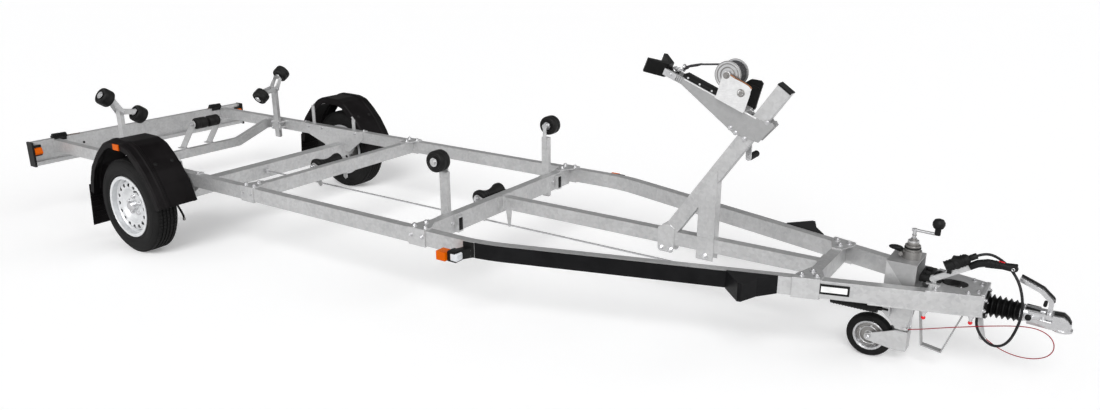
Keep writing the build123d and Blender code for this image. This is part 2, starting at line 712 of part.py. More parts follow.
def amber_lamps():
    """Side lamps on the light beam's end caps, reflectors on the mudguards, front side lamps."""
    x = LIGHT_BEAM_X + LIGHT_BEAM_WALL
    edge = FRAME_SIDE_Y
    end_lamp = side_plate(
        [(x, 424), (x + 27, 424), (x + 39, 436), (x + 27, 468), (x, 478)],
        LIGHT_BEAM_HALF - 50, LIGHT_BEAM_HALF - 1,
    )
    reflector = block(-18, 42, GUARD_OUTER_Y, GUARD_OUTER_Y + 6, 664, 700)
    front = block(2406, 2460, edge + 62, edge + 116, 430, 474)
    lamps = []
    for solid in (end_lamp, reflector, front):
        lamps += [solid, mirrored(solid)]
    return joined(*lamps)


def front_marker_lamps():
    """Arms on the side beams with the front marker lamp housings."""
    edge = BEAM_Y + BEAM_WIDTH / 2
    arm = floor_plate(
        [(2486, edge + 2), (2534, edge - 1.5), (2500, edge + 60), (2464, edge + 60)], 428, 476
    )
    base = beam_strip_box(2480, 2538, 6)
    housing = block(2460, 2506, edge + 40, edge + 98, 424, 478)
    housing = fillet(housing.edges().filter_by(Axis.X), 8)
    lamp = arm + base + housing
    return joined(lamp, mirrored(lamp))


def beam_strip_box(x0, x1, thick):
    """A small pad on the outer face of the left beam inside its bend."""
    half = BEAM_WIDTH / 2
    strip = beam_strip(2000, NOSE_X - 200, half, half + thick, BEAM_BOTTOM + 3, FRAME_TOP - 3)
    return strip & block(x0, x1, 0, 900, 0, 900)


# ---------------------------------------------------------------- keel rollers
def crossbar_path(x):
    """Centre line of the dropped crossbar, from right to left."""
    end = CROSSBAR_END_Y
    bend = end - CROSSBAR_END_FLAT
    low = bend - CROSSBAR_RISE_WIDTH
    return [
        (x, -end, CROSSBAR_END_Z), (x, -bend, CROSSBAR_END_Z), (x, -low, CROSSBAR_LOW_Z),
        (x, low, CROSSBAR_LOW_Z), (x, bend, CROSSBAR_END_Z), (x, end, CROSSBAR_END_Z),
    ]


def dropped_crossbar():
    """The bent rectangular tube that dips under the keel, with its end flanges."""
    path = FilletPolyline(crossbar_path(CROSSBAR_X), radius=60)
    start = Plane(origin=(CROSSBAR_X, -CROSSBAR_END_Y, CROSSBAR_END_Z), x_dir=(1, 0, 0), z_dir=(0, 1, 0))
    outer = sweep(start * Rectangle(CROSSBAR_DEPTH, CROSSBAR_HEIGHT), path=path)
    inner = sweep(
        start * Rectangle(CROSSBAR_DEPTH - 2 * POST_WALL, CROSSBAR_HEIGHT - 2 * POST_WALL), path=path
    )
    bar = outer - inner
    flanges = []
    for side in (-1, 1):
        y0, y1 = sorted((side * CROSSBAR_END_Y, side * BEAM_INNER_Y))
        flanges.append(block(CROSSBAR_X - 52, CROSSBAR_X + 52, y0, y1, BEAM_BOTTOM + 2, FRAME_TOP - 2))
    return bar + flanges


def keel_plate(member_x, y, axle_z):
    """One plate of a keel roller's bracket, on the rear face of its cross member."""
    face = member_x - MEMBER_DEPTH / 2
    axle_x = face - KEEL_AXLE_BACK
    outline = [
        (axle_x, axle_z + 22), (face, axle_z - 1), (face, BEAM_BOTTOM - 52), (face - 16, BEAM_BOTTOM - 62),
        (face - 32, BEAM_BOTTOM - 50), (face - 32, axle_z - 75), (axle_x - 14, axle_z - 17),
    ]
    plate = side_plate(outline, y - BRACKET_PLATE / 2, y + BRACKET_PLATE / 2)
    return plate + rod(
        (axle_x, y - BRACKET_PLATE / 2, axle_z), (axle_x, y + BRACKET_PLATE / 2, axle_z), 22
    )


def keel_bracket(member_x, centre_y, axle_z):
    """Both plates of a keel roller's bracket and the axle between them."""
    spread = KEEL_ROLLER_LENGTH / 2 + 4 + BRACKET_PLATE / 2
    axle_x = member_x - MEMBER_DEPTH / 2 - KEEL_AXLE_BACK
    axle = rod(
        (axle_x, centre_y - spread - 9, axle_z), (axle_x, centre_y + spread + 9, axle_z),
        ROLLER_AXLE_RADIUS,
    )
    return (
        axle + keel_plate(member_x, centre_y - spread, axle_z)
        + keel_plate(member_x, centre_y + spread, axle_z)
    )


def cradle_bracket():
    """The leaning arms on the dropped crossbar and the axle of the cradle roller."""
    foot_z = CROSSBAR_LOW_Z + CROSSBAR_HEIGHT / 2
    foot_x = CROSSBAR_X - 40
    half = 25.0
    dx = CRADLE_AXLE_X - foot_x
    dz = CRADLE_AXLE_Z - foot_z
    length = hypot(dx, dz)
    nx = dz / length * half
    nz = -dx / length * half
    reach = nz * dx / dz
    outline = [
        (foot_x - nx + reach, foot_z), (foot_x + nx - reach, foot_z),
        (CRADLE_AXLE_X + nx, CRADLE_AXLE_Z + nz), (CRADLE_AXLE_X - nx, CRADLE_AXLE_Z - nz),
    ]
    bracket = rod(
        (CRADLE_AXLE_X, CRADLE_Y - CRADLE_HALF - 12, CRADLE_AXLE_Z),
        (CRADLE_AXLE_X, CRADLE_Y + CRADLE_HALF + 12, CRADLE_AXLE_Z), ROLLER_AXLE_RADIUS,
    )
    for y in (CRADLE_Y - CRADLE_HALF, CRADLE_Y + CRADLE_HALF):
        y0 = y - BRACKET_PLATE / 2
        y1 = y + BRACKET_PLATE / 2
        bracket += side_plate(outline, y0, y1)
        bracket += rod((CRADLE_AXLE_X, y0, CRADLE_AXLE_Z), (CRADLE_AXLE_X, y1, CRADLE_AXLE_Z), half)
        bracket += block(
            foot_x - 34, CROSSBAR_X + CROSSBAR_DEPTH / 2, y0 - 16, y1 + 16, foot_z, foot_z + BRACKET_PLATE
        )
    return bracket


def keel_roller_brackets():
    """Brackets of the two keel rollers and of the cradle roller."""
    return joined(
        keel_bracket(REAR_MEMBER_X, REAR_KEEL_Y, KEEL_AXLE_Z),
        keel_bracket(MIDDLE_MEMBER_X, MIDDLE_KEEL_Y, KEEL_AXLE_Z),
        cradle_bracket(),
    )


def keel_roller(member_x, centre_y):
    """A waisted rubber roller on its axle."""
    half = KEEL_ROLLER_LENGTH / 2
    profile = [
        (ROLLER_BORE, -half), (KEEL_ROLLER_RADIUS - 5, -half), (KEEL_ROLLER_RADIUS, -half + 5),
        (KEEL_ROLLER_RADIUS, -half + 26), (KEEL_WAIST_RADIUS + 5, -half + 60),
        (KEEL_WAIST_RADIUS, -12), (KEEL_WAIST_RADIUS, 12), (KEEL_WAIST_RADIUS + 5, half - 60),
        (KEEL_ROLLER_RADIUS, half - 26), (KEEL_ROLLER_RADIUS, half - 5),
        (KEEL_ROLLER_RADIUS - 5, half), (ROLLER_BORE, half),
    ]
    axle_x = member_x - MEMBER_DEPTH / 2 - KEEL_AXLE_BACK
    return turned(profile, (axle_x, centre_y, KEEL_AXLE_Z), (0, 1, 0))


def cradle_roller():
    """Two rubber rollers joined by their waist, between the cradle arms."""
    half = CRADLE_ROLLER_HALF
    profile = [
        (ROLLER_BORE, -half), (CRADLE_ROLLER_RADIUS - 6, -half), (CRADLE_ROLLER_RADIUS, -half + 6),
        (CRADLE_ROLLER_RADIUS, -14), (CRADLE_ROLLER_RADIUS - 6, -8), (22, -8), (22, 8),
        (CRADLE_ROLLER_RADIUS - 6, 8), (CRADLE_ROLLER_RADIUS, 14), (CRADLE_ROLLER_RADIUS, half - 6),
        (CRADLE_ROLLER_RADIUS - 6, half), (ROLLER_BORE, half),
    ]
    return turned(profile, (CRADLE_AXLE_X, CRADLE_Y, CRADLE_AXLE_Z), (0, 1, 0))


# ---------------------------------------------------------------- side rollers
def middle_rows():
    """The two middle posts: side, post y, roller y."""
    return [
        # side, post y, roller y
        (-1, MID_POST_RIGHT_Y, MID_POST_RIGHT_Y - MID_ROLLER_OUT),
        (1, MID_POST_LEFT_Y, MID_POST_LEFT_Y + MID_ROLLER_OUT),
    ]


def pivot_rows():
    """The rocker pins on the rear posts, which are clamped at their own heights: side, pin z."""
    return [(-1, ROCKER_PIVOT_RIGHT_Z), (1, ROCKER_PIVOT_LEFT_Z)]


def post_tube(x, y, z0, z1):
    """A closed-ended rectangular post."""
    half_x = POST_X_SIZE / 2
    half_y = POST_Y_SIZE / 2
    outer = block(x - half_x, x + half_x, y - half_y, y + half_y, z0, z1)
    inner = block(
        x - half_x + POST_WALL, x + half_x - POST_WALL, y - half_y + POST_WALL, y + half_y - POST_WALL,
        z0 - 1, z1 - POST_WALL,
    )
    return outer - inner


def roller_posts():
    """Rear posts with pivot bores, and middle posts with the arms and axles of their rollers."""
    posts = []
    for side, pivot_z in pivot_rows():
        post = post_tube(REAR_POST_X, side * REAR_POST_Y, REAR_POST_FOOT, pivot_z + REAR_POST_ABOVE)
        pin = (REAR_POST_X, side * REAR_POST_Y, pivot_z)
        sleeve = rod((pin[0] - 25, pin[1], pin[2]), (pin[0] + 25, pin[1], pin[2]), 10)
        bore = rod((pin[0] - 30, pin[1], pin[2]), (pin[0] + 30, pin[1], pin[2]), 6 + RUNNING_GAP)
        posts.append(post + sleeve - bore)
    post_x = MIDDLE_MEMBER_X - MEMBER_DEPTH / 2 - POST_X_SIZE / 2
    axle_z = MID_POST_TOP + MID_ROLLER_RISE
    for side, post_y, roller_y in middle_rows():
        post = post_tube(post_x, post_y, MID_POST_FOOT, MID_POST_TOP)
        inner = post_y - side * POST_Y_SIZE / 2
        y0, y1 = sorted((inner, inner - side * BRACKET_PLATE))
        arm = block(post_x - 12, post_x + 12, y0, y1, MID_POST_TOP - 70, axle_z)
        eye = rod((post_x, y0, axle_z), (post_x, y1, axle_z), 17)
        end = roller_y + side * (SIDE_ROLLER_LENGTH / 2 + 9)
        axle = rod((post_x, inner, axle_z), (post_x, end, axle_z), ROLLER_AXLE_RADIUS)
        near = roller_y - side * (SIDE_ROLLER_LENGTH / 2 + 0.6)
        collar = rod((post_x, inner, axle_z), (post_x, near, axle_z), ROLLER_AXLE_RADIUS + 5)
        far = roller_y + side * (SIDE_ROLLER_LENGTH / 2 + 0.6)
        cap = rod((post_x, far, axle_z), (post_x, end, axle_z), ROLLER_AXLE_RADIUS + 5)
        posts.append(post + arm + eye + axle + collar + cap)
    return joined(*posts)


def post_clamps():
    """Spacers and plates that clamp the posts to the beams and to the middle member."""
    solids = []
    near = REAR_POST_Y - POST_Y_SIZE / 2
    far = REAR_POST_Y + POST_Y_SIZE / 2
    clamp = block(
        REAR_POST_X - 50, REAR_POST_X + 50, near - BRACKET_PLATE, near, BEAM_BOTTOM + 4, FRAME_TOP - 4
    )
    clamp += block(REAR_POST_X - 26, REAR_POST_X + 26, far, BEAM_INNER_Y, BEAM_BOTTOM + 14, FRAME_TOP - 14)
    for x in (REAR_POST_X - 38, REAR_POST_X + 38):
        for z in (BEAM_BOTTOM + 20, FRAME_TOP - 20):
            clamp += rod((x, near - 1, z), (x, BEAM_INNER_Y, z), 9)
    solids += [clamp, mirrored(clamp)]
    rear = MIDDLE_MEMBER_X - MEMBER_DEPTH / 2
    front = MIDDLE_MEMBER_X + MEMBER_DEPTH / 2
    for side, post_y, roller_y in middle_rows():
        plate = block(rear - POST_X_SIZE - 6, rear - POST_X_SIZE, post_y - 42, post_y + 42, 440, 480)
        for dy in (-28, 28):
            plate += rod((rear - POST_X_SIZE - 12, post_y + dy, 460), (rear, post_y + dy, 460), 7)
        socket = block(front, front + 24, post_y - 20, post_y + 20, BEAM_BOTTOM - 15, FRAME_TOP - 8)
        solids += [plate, socket]
    return joined(*solids)


def rocker_place(pivot_z):
    """Placement at a left pivot: local X along the pin, Y along the bar outward, Z above it."""
    tilt = radians(ROCKER_TILT)
    origin = (REAR_POST_X, REAR_POST_Y, pivot_z)
    return Plane(origin=origin, x_dir=(1, 0, 0), z_dir=(0, -sin(tilt), cos(tilt)))


def rocker(pivot_z):
    """A rocker, left-hand: two V-shaped cheeks on the pivot pin, with an axle stub at each end."""
    rise = ROCKER_RISE
    gap = POST_X_SIZE / 2 + 5
    near = ROCKER_SPREAD - SIDE_ROLLER_LENGTH / 2 - 0.6
    far = ROCKER_SPREAD + SIDE_ROLLER_LENGTH / 2 + 0.6
    vee = [
        (-near + 6, rise - 15), (0, -18), (near - 6, rise - 15), (near - 6, rise + 15), (0, 22),
        (-near + 6, rise + 15),
    ]
    body = rod((-gap - 9, 0, 0), (gap + 9, 0, 0), 6)
    for x0 in (-gap - 5, gap):
        body += cross_plate(vee, x0, x0 + 5)
    for sign in (-1, 1):
        y0, y1 = sorted((sign * (near - 12), sign * (near - 6)))
        body += block(-gap - 5, gap + 5, y0, y1, rise - 15, rise + 15)
        body += rod((0, sign * (near - 8), rise), (0, sign * (far + 7), rise), ROLLER_AXLE_RADIUS)
        body += rod((0, sign * (near - 8), rise), (0, sign * near, rise), ROLLER_AXLE_RADIUS + 6)
        body += rod((0, sign * far, rise), (0, sign * (far + 7), rise), ROLLER_AXLE_RADIUS + 5)
    return rocker_place(pivot_z).location * body


def side_roller_profile():
    """Closed (radius, along) outline of a side roller with a recessed hub."""
    half = SIDE_ROLLER_LENGTH / 2
    out = SIDE_ROLLER_RADIUS
    return [
        (ROLLER_BORE, -half), (22, -half), (24, -half + 6), (SIDE_ROLLER_END_RADIUS, -half + 4),
        (out - 7, -half + 2), (out - 1, -half + 10), (out, 0), (out - 1, half - 10), (out - 7, half - 2),
        (SIDE_ROLLER_END_RADIUS, half - 4), (24, half - 6), (22, half), (ROLLER_BORE, half),
    ]


def rocker_roller(pivot_z, sign):
    """A roller on a rocker, left-hand, outboard (1) or inboard (-1)."""
    roller = turned(side_roller_profile(), (0, sign * ROCKER_SPREAD, ROCKER_RISE), (0, 1, 0))
    return rocker_place(pivot_z).location * roller


def middle_roller(row):
    """The roller on one middle post."""
    side, post_y, roller_y = row
    post_x = MIDDLE_MEMBER_X - MEMBER_DEPTH / 2 - POST_X_SIZE / 2
    return turned(side_roller_profile(), (post_x, roller_y, MID_POST_TOP + MID_ROLLER_RISE), (0, 1, 0))


# ---------------------------------------------------------------- winch stand
def winch_angle():
    """Slope of the winch post above the horizontal, in degrees."""
    return degrees(atan2(WINCH_TOP[1] - WINCH_FOOT[1], WINCH_TOP[0] - WINCH_FOOT[0]))


def winch_post():
    """The leaning post on the centre beam, with its moulded cap."""
    length = hypot(WINCH_TOP[0] - WINCH_FOOT[0], WINCH_TOP[1] - WINCH_FOOT[1])
    half_x = WINCH_POST_DEPTH / 2
    half_y = WINCH_POST_WIDTH / 2
    tube = box_tube(-60, length, -half_y, half_y, -half_x, half_x, POST_WALL, "x")
    cap = block(length, length + 8, -half_y - 2, half_y + 2, -half_x - 2, half_x + 2)
    post = Pos(WINCH_FOOT[0], 0, WINCH_FOOT[1]) * Rot(0, -winch_angle(), 0) * (tube + cap)
    under = block(2800, 3700, -100, 100, 0, CENTRE_BEAM_TOP)
    return post - under


def post_line_z(x, offset):
    """Z on the winch post's side at x, offset mm square to its axis (positive above)."""
    slope = tan(radians(winch_angle()))
    return WINCH_FOOT[1] + (x - WINCH_FOOT[0]) * slope + offset / cos(radians(winch_angle()))


def winch_post_brackets():
    """The foot plates and the upright channel that hold the winch post on the centre beam."""
    y_in = CENTRE_BEAM_WIDTH / 2
    y_out = y_in + SIDE_PLATE_WALL
    foot_x = FOOT_PLATE_X
    solids = []
    foot = [
        (foot_x - 40, CENTRE_BEAM_BOTTOM - 20), (foot_x - 20, BRACE_FOOT_Z), (foot_x + 35, BRACE_FOOT_Z),
        (foot_x + 48, CENTRE_BEAM_BOTTOM - 20), (foot_x + 48, CENTRE_BEAM_TOP + 14),
        (foot_x + 20, CENTRE_BEAM_TOP + 34), (foot_x - 10, CENTRE_BEAM_TOP + 34),
        (foot_x - 40, CENTRE_BEAM_TOP + 10),
    ]
    for y0 in (-y_out, y_in):
        solids.append(side_plate(foot, y0, y0 + SIDE_PLATE_WALL))
    rear = BRACE_X - BRACE_DEPTH / 2
    front = BRACE_X + BRACE_DEPTH / 2
    side = [
        (rear, BRACE_FOOT_Z), (front, BRACE_FOOT_Z), (front, post_line_z(front, 0.0)),
        (rear, post_line_z(rear, 0.0)),
    ]
    brace = side_plate(side, -y_out, -y_in) + side_plate(side, y_in, y_out)
    web = block(front - BRACE_WALL, front, -y_in, y_in, CENTRE_BEAM_TOP, 900)
    web -= side_plate(
        [
            (front - 60, post_line_z(front - 60, -WINCH_POST_DEPTH / 2)),
            (front + 60, post_line_z(front + 60, -WINCH_POST_DEPTH / 2)),
            (front + 60, 1200), (front - 60, 1200),
        ],
        -60, 60,
    )
    solids.append(brace + web)
    return joined(*solids)


def winch_head():
    """The folded head on the post: two side plates joined along their upper edge, and the bow
    stop's bracket at its nose."""
    y_in = WINCH_POST_WIDTH / 2
    y_out = y_in + SIDE_PLATE_WALL
    outline = [
        (3233, 1271), (3661, 1098), (3706, 1096), (3716, 1080), (3647, 999), (3526, 1027), (3235, 1243),
    ]
    head = side_plate(outline, -y_out, -y_in) + side_plate(outline, y_in, y_out)
    slope = (1098 - 1271) / (3661 - 3233)
    web_end = 3600.0
    web = side_plate(
        [
            (3233, 1271), (web_end, 1271 + slope * (web_end - 3233)),
            (web_end, 1271 + slope * (web_end - 3233) - 5), (3233, 1266),
        ],
        -y_in, y_in,
    )
    nose = head_place() * (
        block(-BOW_STOP_BACK, 2, -y_out, y_out, -32, -27)
        + block(-BOW_STOP_BACK, 40, -y_out, -y_in, -32, 2)
        + block(-BOW_STOP_BACK, 40, y_in, y_out, -32, 2)
    )
    return head + web + nose


def head_place():
    """Placement at the head's nose: local X down its upper edge, Z square above it."""
    slope = degrees(atan2(1271 - 1098, 3661 - 3233))
    return Pos(3233, 0, 1271) * Rot(0, slope, 0)


def bow_stop():
    """The rubber V that takes the boat's bow."""
    y_in = WINCH_POST_WIDTH / 2
    plan = [
        (-BOW_STOP_BACK, -27), (-BOW_STOP_BACK, 27), (-62, 34), (-134, 100), (-146, 84),
        (-92, 22), (-82, 0), (-92, -22),
        (-146, -84), (-134, -100), (-62, -34),
    ]
    vee = floor_plate(plan, -42, 24)
    lug = block(-62, -14, -y_in, y_in, -27, -4)
    return head_place() * (vee + lug)


def winch_frame():
    """The winch's folded frame: base, two cheeks and the black gear cover on the left cheek."""
    y_near = -WINCH_CHEEK_Y - SIDE_PLATE_WALL
    base = head_place() * block(222, 372, y_near, -y_near, 0, 4)
    near = [
        (3442, 1187), (3452, 1222), (3470, 1290), (3482, 1310), (3500, 1310), (3512, 1292),
        (3530, 1252), (3600, 1232), (3606, 1222), (3584, 1140), (3575, 1133),
    ]
    cheek = side_plate(near, y_near, -WINCH_CHEEK_Y)
    far = side_plate(near, WINCH_CHEEK_Y, -y_near)
    cover = side_plate(
        [(3530, 1160), (3535, 1250), (3560, 1266), (3606, 1262), (3617, 1250), (3586, 1128), (3570, 1135)],
        -y_near, -y_near + 14,
    )
    shaft = rod((3558, y_near - 5, 1225), (3558, -y_near + 20, 1225), 9)
    return base + cheek + far + cover + shaft


def winch_drum():
    """The drum with its two flanges and the strap wound on it, on its axle."""
    half = DRUM_LENGTH / 2
    end = WINCH_CHEEK_Y
    profile = [
        (0, -end), (9, -end), (9, -half - 4), (DRUM_FLANGE_RADIUS, -half - 4),
        (DRUM_FLANGE_RADIUS, -half), (DRUM_CORE_RADIUS, -half + 4), (DRUM_CORE_RADIUS, half - 4),
        (DRUM_FLANGE_RADIUS, half), (DRUM_FLANGE_RADIUS, half + 4), (9, half + 4), (9, end), (0, end),
    ]
    return turned(profile, (DRUM_X, 0, DRUM_Z), (0, 1, 0))


def winch_crank():
    """The crank on the pinion shaft: arm down the left side, and its grip."""
    y0 = WINCH_CHEEK_Y + SIDE_PLATE_WALL + 20
    arm = link((3558, 1225), (3565, 893), 16, 13, y0, y0 + 8)
    grip = turned(
        [(0, 0), (11, 0), (14, 12), (14, 90), (10, 100), (0, 100)], (3565, y0 + 8, 893), (0, 1, 0)
    )
    return arm + grip


def winch_strap():
    """The flat strap from the drum to its hook at the bow stop."""
    z_top = DRUM_Z + DRUM_CORE_RADIUS + 0.3
    points = [
        (DRUM_X + 2, z_top), (3431, z_top - 4), (3333, 1321), (3276, 1309), (3262, 1296),
    ]
    return side_plate(folded(points, -3.0), -24, 24)


# ---------------------------------------------------------------- drawbar head
def drawbar_plan(rear_x, front_x, offset):
    """Trapezoid between the V beams' outer faces, moved in by an offset."""
    half = BEAM_WIDTH / 2 - offset
    return [
        (rear_x, nose_y(rear_x, half)), (front_x, nose_y(front_x, half)),
        (front_x, -nose_y(front_x, half)), (rear_x, -nose_y(rear_x, half)),
    ]


def drawbar_head():
    """Top and bottom plates, end plate, jockey wheel box, sleeve brackets and cable gland."""
    low = BEAM_BOTTOM - HEAD_PLATE
    top = floor_plate(drawbar_plan(HEAD_REAR_X, NOSE_X, 0.0), FRAME_TOP, FRAME_TOP + HEAD_PLATE)
    slot = Pos(SLOT_X, 0, FRAME_TOP - 1) * extrude(SlotOverall(SLOT_LENGTH, SLOT_WIDTH), amount=20)
    top -= slot
    bottom = floor_plate(drawbar_plan(FLOOR_REAR_X, NOSE_X, 0.0), low, BEAM_BOTTOM)
    end = block(
        NOSE_X, NOSE_X + HEAD_PLATE, -NOSE_HALF_WIDTH, NOSE_HALF_WIDTH, low, FRAME_TOP + HEAD_PLATE
    )
    head = top + bottom + end
    head -= rod((NOSE_X - 5, 0, SHAFT_Z), (NOSE_X + 20, 0, SHAFT_Z), SHAFT_RADIUS + RUNNING_GAP)
    wall = JOCKEY_BOX_WALL
    box = block(
        JOCKEY_BOX_REAR_X, JOCKEY_BOX_FRONT_X, -JOCKEY_BOX_HALF, JOCKEY_BOX_HALF, BEAM_BOTTOM, JOCKEY_BOX_TOP
    )
    box -= block(
        JOCKEY_BOX_REAR_X + wall, JOCKEY_BOX_FRONT_X + 1, wall - JOCKEY_BOX_HALF, JOCKEY_BOX_HALF - wall,
        BEAM_BOTTOM - 1, JOCKEY_BOX_TOP - wall,
    )
    head += box
    plate = [
        (4244, low), (4385, low), (4385, low - 60), (4369, 268), (4325, 268), (4300, 300), (4244, 350),
    ]
    inner = SLEEVE_RADIUS + 6
    for side in (-1, 1):
        y0, y1 = sorted((side * inner, side * (inner + HEAD_PLATE)))
        head += side_plate(plate, y0, y1)
        y2, y3 = sorted((side * (SLEEVE_RADIUS - 4), side * inner))
        head += block(JOCKEY_X - 10, JOCKEY_X + 10, y2, y3, 290, low)
    eyelet_y = inner + HEAD_PLATE
    start = Vector(*BREAKAWAY_ROUTE[0])
    way = (Vector(*BREAKAWAY_ROUTE[1]) - start).normalized()
    back = start - way * 14
    head += block(4358, start.X - 9, -eyelet_y - 13, -eyelet_y, 274, 287)
    head += rod((back.X, back.Y, back.Z), (start.X, start.Y, start.Z), 4)
    gland = POWER_CABLE_ROUTE[0]
    head += rod((gland[0], gland[1], gland[2]), (gland[0], gland[1], low), 9)
    lever_x = NOSE_X - 15
    head += link((lever_x, low - 4), (4656, 302), 12, 12, -5, 5)
    tail = BREAKAWAY_ROUTE[-1]
    before = BREAKAWAY_ROUTE[-2]
    way = Vector(*tail) - Vector(*before)
    stop = Vector(*tail) + way.normalized() * 15
    head += rod(tail, (stop.X, stop.Y, stop.Z), 5)
    hanger = block(4296, 4302, -84, -48, BRAKE_ROD_Z - 22, low)
    head += hanger
    head -= rod(
        (JOCKEY_X, 0, 200), (JOCKEY_X, 0, 700), SLEEVE_RADIUS
    )
    return head


def jockey_sleeve():
    """The fixed outer tube of the jockey wheel, with its clamp collar and lever."""
    tube = pipe(
        (JOCKEY_X, 0, SLEEVE_BOTTOM), (JOCKEY_X, 0, SLEEVE_TOP), SLEEVE_RADIUS, LEG_RADIUS + RUNNING_GAP
    )
    cap = rod((JOCKEY_X, 0, SLEEVE_TOP), (JOCKEY_X, 0, SLEEVE_TOP + 6), SLEEVE_RADIUS)
    cap -= rod((JOCKEY_X, 0, SLEEVE_TOP - 5), (JOCKEY_X, 0, SLEEVE_TOP + 30), 8 + RUNNING_GAP)
    collar = pipe(
        (JOCKEY_X, 0, JOCKEY_BOX_TOP), (JOCKEY_X, 0, JOCKEY_BOX_TOP + 34),
        SLEEVE_RADIUS + 8, SLEEVE_RADIUS - 1,
    )
    z = JOCKEY_BOX_TOP + 22
    lever = rod((JOCKEY_X - 34, 0, z), (JOCKEY_X - 72, 0, z + 8), 8)
    pad = Pos(JOCKEY_X - 92, 0, z + 14) * Rot(0, -10, 0) * scale(Sphere(1), by=(34, 17, 15))
    return tube + cap + collar + lever + pad


def jockey_crank():
    """Spindle, crank arm and knob that wind the jockey wheel."""
    z = 712.0
    spindle = rod((JOCKEY_X, 0, 470), (JOCKEY_X, 0, z + 6), 8)
    shoulder = rod((JOCKEY_X, 0, SLEEVE_TOP + 6), (JOCKEY_X, 0, SLEEVE_TOP + 26), 22)
    arm = rod((JOCKEY_X - 12, 0, z), (JOCKEY_X + 96, 0, z - 4), 6)
    knob = turned(
        [(0, 0), (12, 0), (12, 26), (19, 30), (25, 42), (25, 54), (18, 66), (8, 70), (0, 70)],
        (JOCKEY_X + 88, 0, z - 6), (0, 0, 1),
    )
    return spindle + shoulder + arm + knob


def jockey_leg():
    """The sliding inner tube and the yoke at its foot, with the wheel's axle."""
    leg = pipe((JOCKEY_X, 0, YOKE_TOP - 2), (JOCKEY_X, 0, LEG_TOP), LEG_RADIUS, LEG_RADIUS - 5)
    arm_y = JOCKEY_WIDTH / 2 + JOCKEY_SIDE_GAP
    front = JOCKEY_X + 32
    arm = [
        (JOCKEY_X - 18, YOKE_TOP), (front, YOKE_TOP), (front, 168), (JOCKEY_X - 8, 163),
        (JOCKEY_WHEEL_X, JOCKEY_WHEEL_Z - 17), (JOCKEY_WHEEL_X, JOCKEY_WHEEL_Z + 17),
    ]
    yoke = leg
    for y0 in (-arm_y - YOKE_PLATE, arm_y):
        yoke += side_plate(arm, y0, y0 + YOKE_PLATE)
        yoke += rod(
            (JOCKEY_WHEEL_X, y0, JOCKEY_WHEEL_Z), (JOCKEY_WHEEL_X, y0 + YOKE_PLATE, JOCKEY_WHEEL_Z), 17
        )
    yoke += block(
        JOCKEY_X - 18, front, -arm_y - YOKE_PLATE, arm_y + YOKE_PLATE, YOKE_TOP - YOKE_PLATE, YOKE_TOP
    )
    yoke += block(front - YOKE_PLATE, front, -arm_y - YOKE_PLATE, arm_y + YOKE_PLATE, 168, YOKE_TOP)
    yoke += rod(
        (JOCKEY_WHEEL_X, -arm_y - YOKE_PLATE - 6, JOCKEY_WHEEL_Z),
        (JOCKEY_WHEEL_X, arm_y + YOKE_PLATE + 6, JOCKEY_WHEEL_Z), JOCKEY_AXLE_RADIUS,
    )
    return yoke


def jockey_rim():
    """The jockey wheel's pressed rim with its hub tube."""
    half = JOCKEY_WIDTH / 2
    bore = JOCKEY_AXLE_RADIUS + RUNNING_GAP
    out = JOCKEY_RIM_RADIUS
    profile = [
        (bore, -half - 4), (15, -half - 4), (17, -12), (out - 16, -7), (out - 8, -half + 4), (out, -half + 2),
        (out, half - 2), (out - 8, half - 4), (out - 16, 7), (17, 12), (15, half + 4), (bore, half + 4),
    ]
    return turned(profile, (JOCKEY_WHEEL_X, 0, JOCKEY_WHEEL_Z), (0, 1, 0))


def jockey_tyre():
    """The jockey wheel's solid rubber tyre."""
    half = JOCKEY_WIDTH / 2
    seat = JOCKEY_RIM_RADIUS + 0.3
    out = JOCKEY_RADIUS
    profile = [
        (seat, -half + 2), (out - 10, -half), (out, -half + 12), (out, half - 12), (out - 10, half),
        (seat, half - 2),
    ]
    return turned(profile, (JOCKEY_WHEEL_X, 0, JOCKEY_WHEEL_Z), (0, 1, 0))


def bellows():
    """The ribbed rubber boot over the overrun shaft."""
    start = NOSE_X + HEAD_PLATE
    length = BELLOWS_FRONT_X - start
    pitch = (length - 20) / BELLOWS_RIBS
    bore = SHAFT_RADIUS + 0.3
    outline = [(bore, 0.0), (BELLOWS_FLANGE_RADIUS, 0.0), (BELLOWS_FLANGE_RADIUS, 9.0)]
    for i in range(BELLOWS_RIBS):
        a = 10 + i * pitch
        outline += [(BELLOWS_NECK_RADIUS, a + 3), (BELLOWS_RADIUS - 2 * i, a + pitch * 0.55)]
    outline += [(BELLOWS_NECK_RADIUS, length - 10), (BELLOWS_NECK_RADIUS, length), (bore, length)]
    return turned(outline, (start, 0, SHAFT_Z), (1, 0, 0))


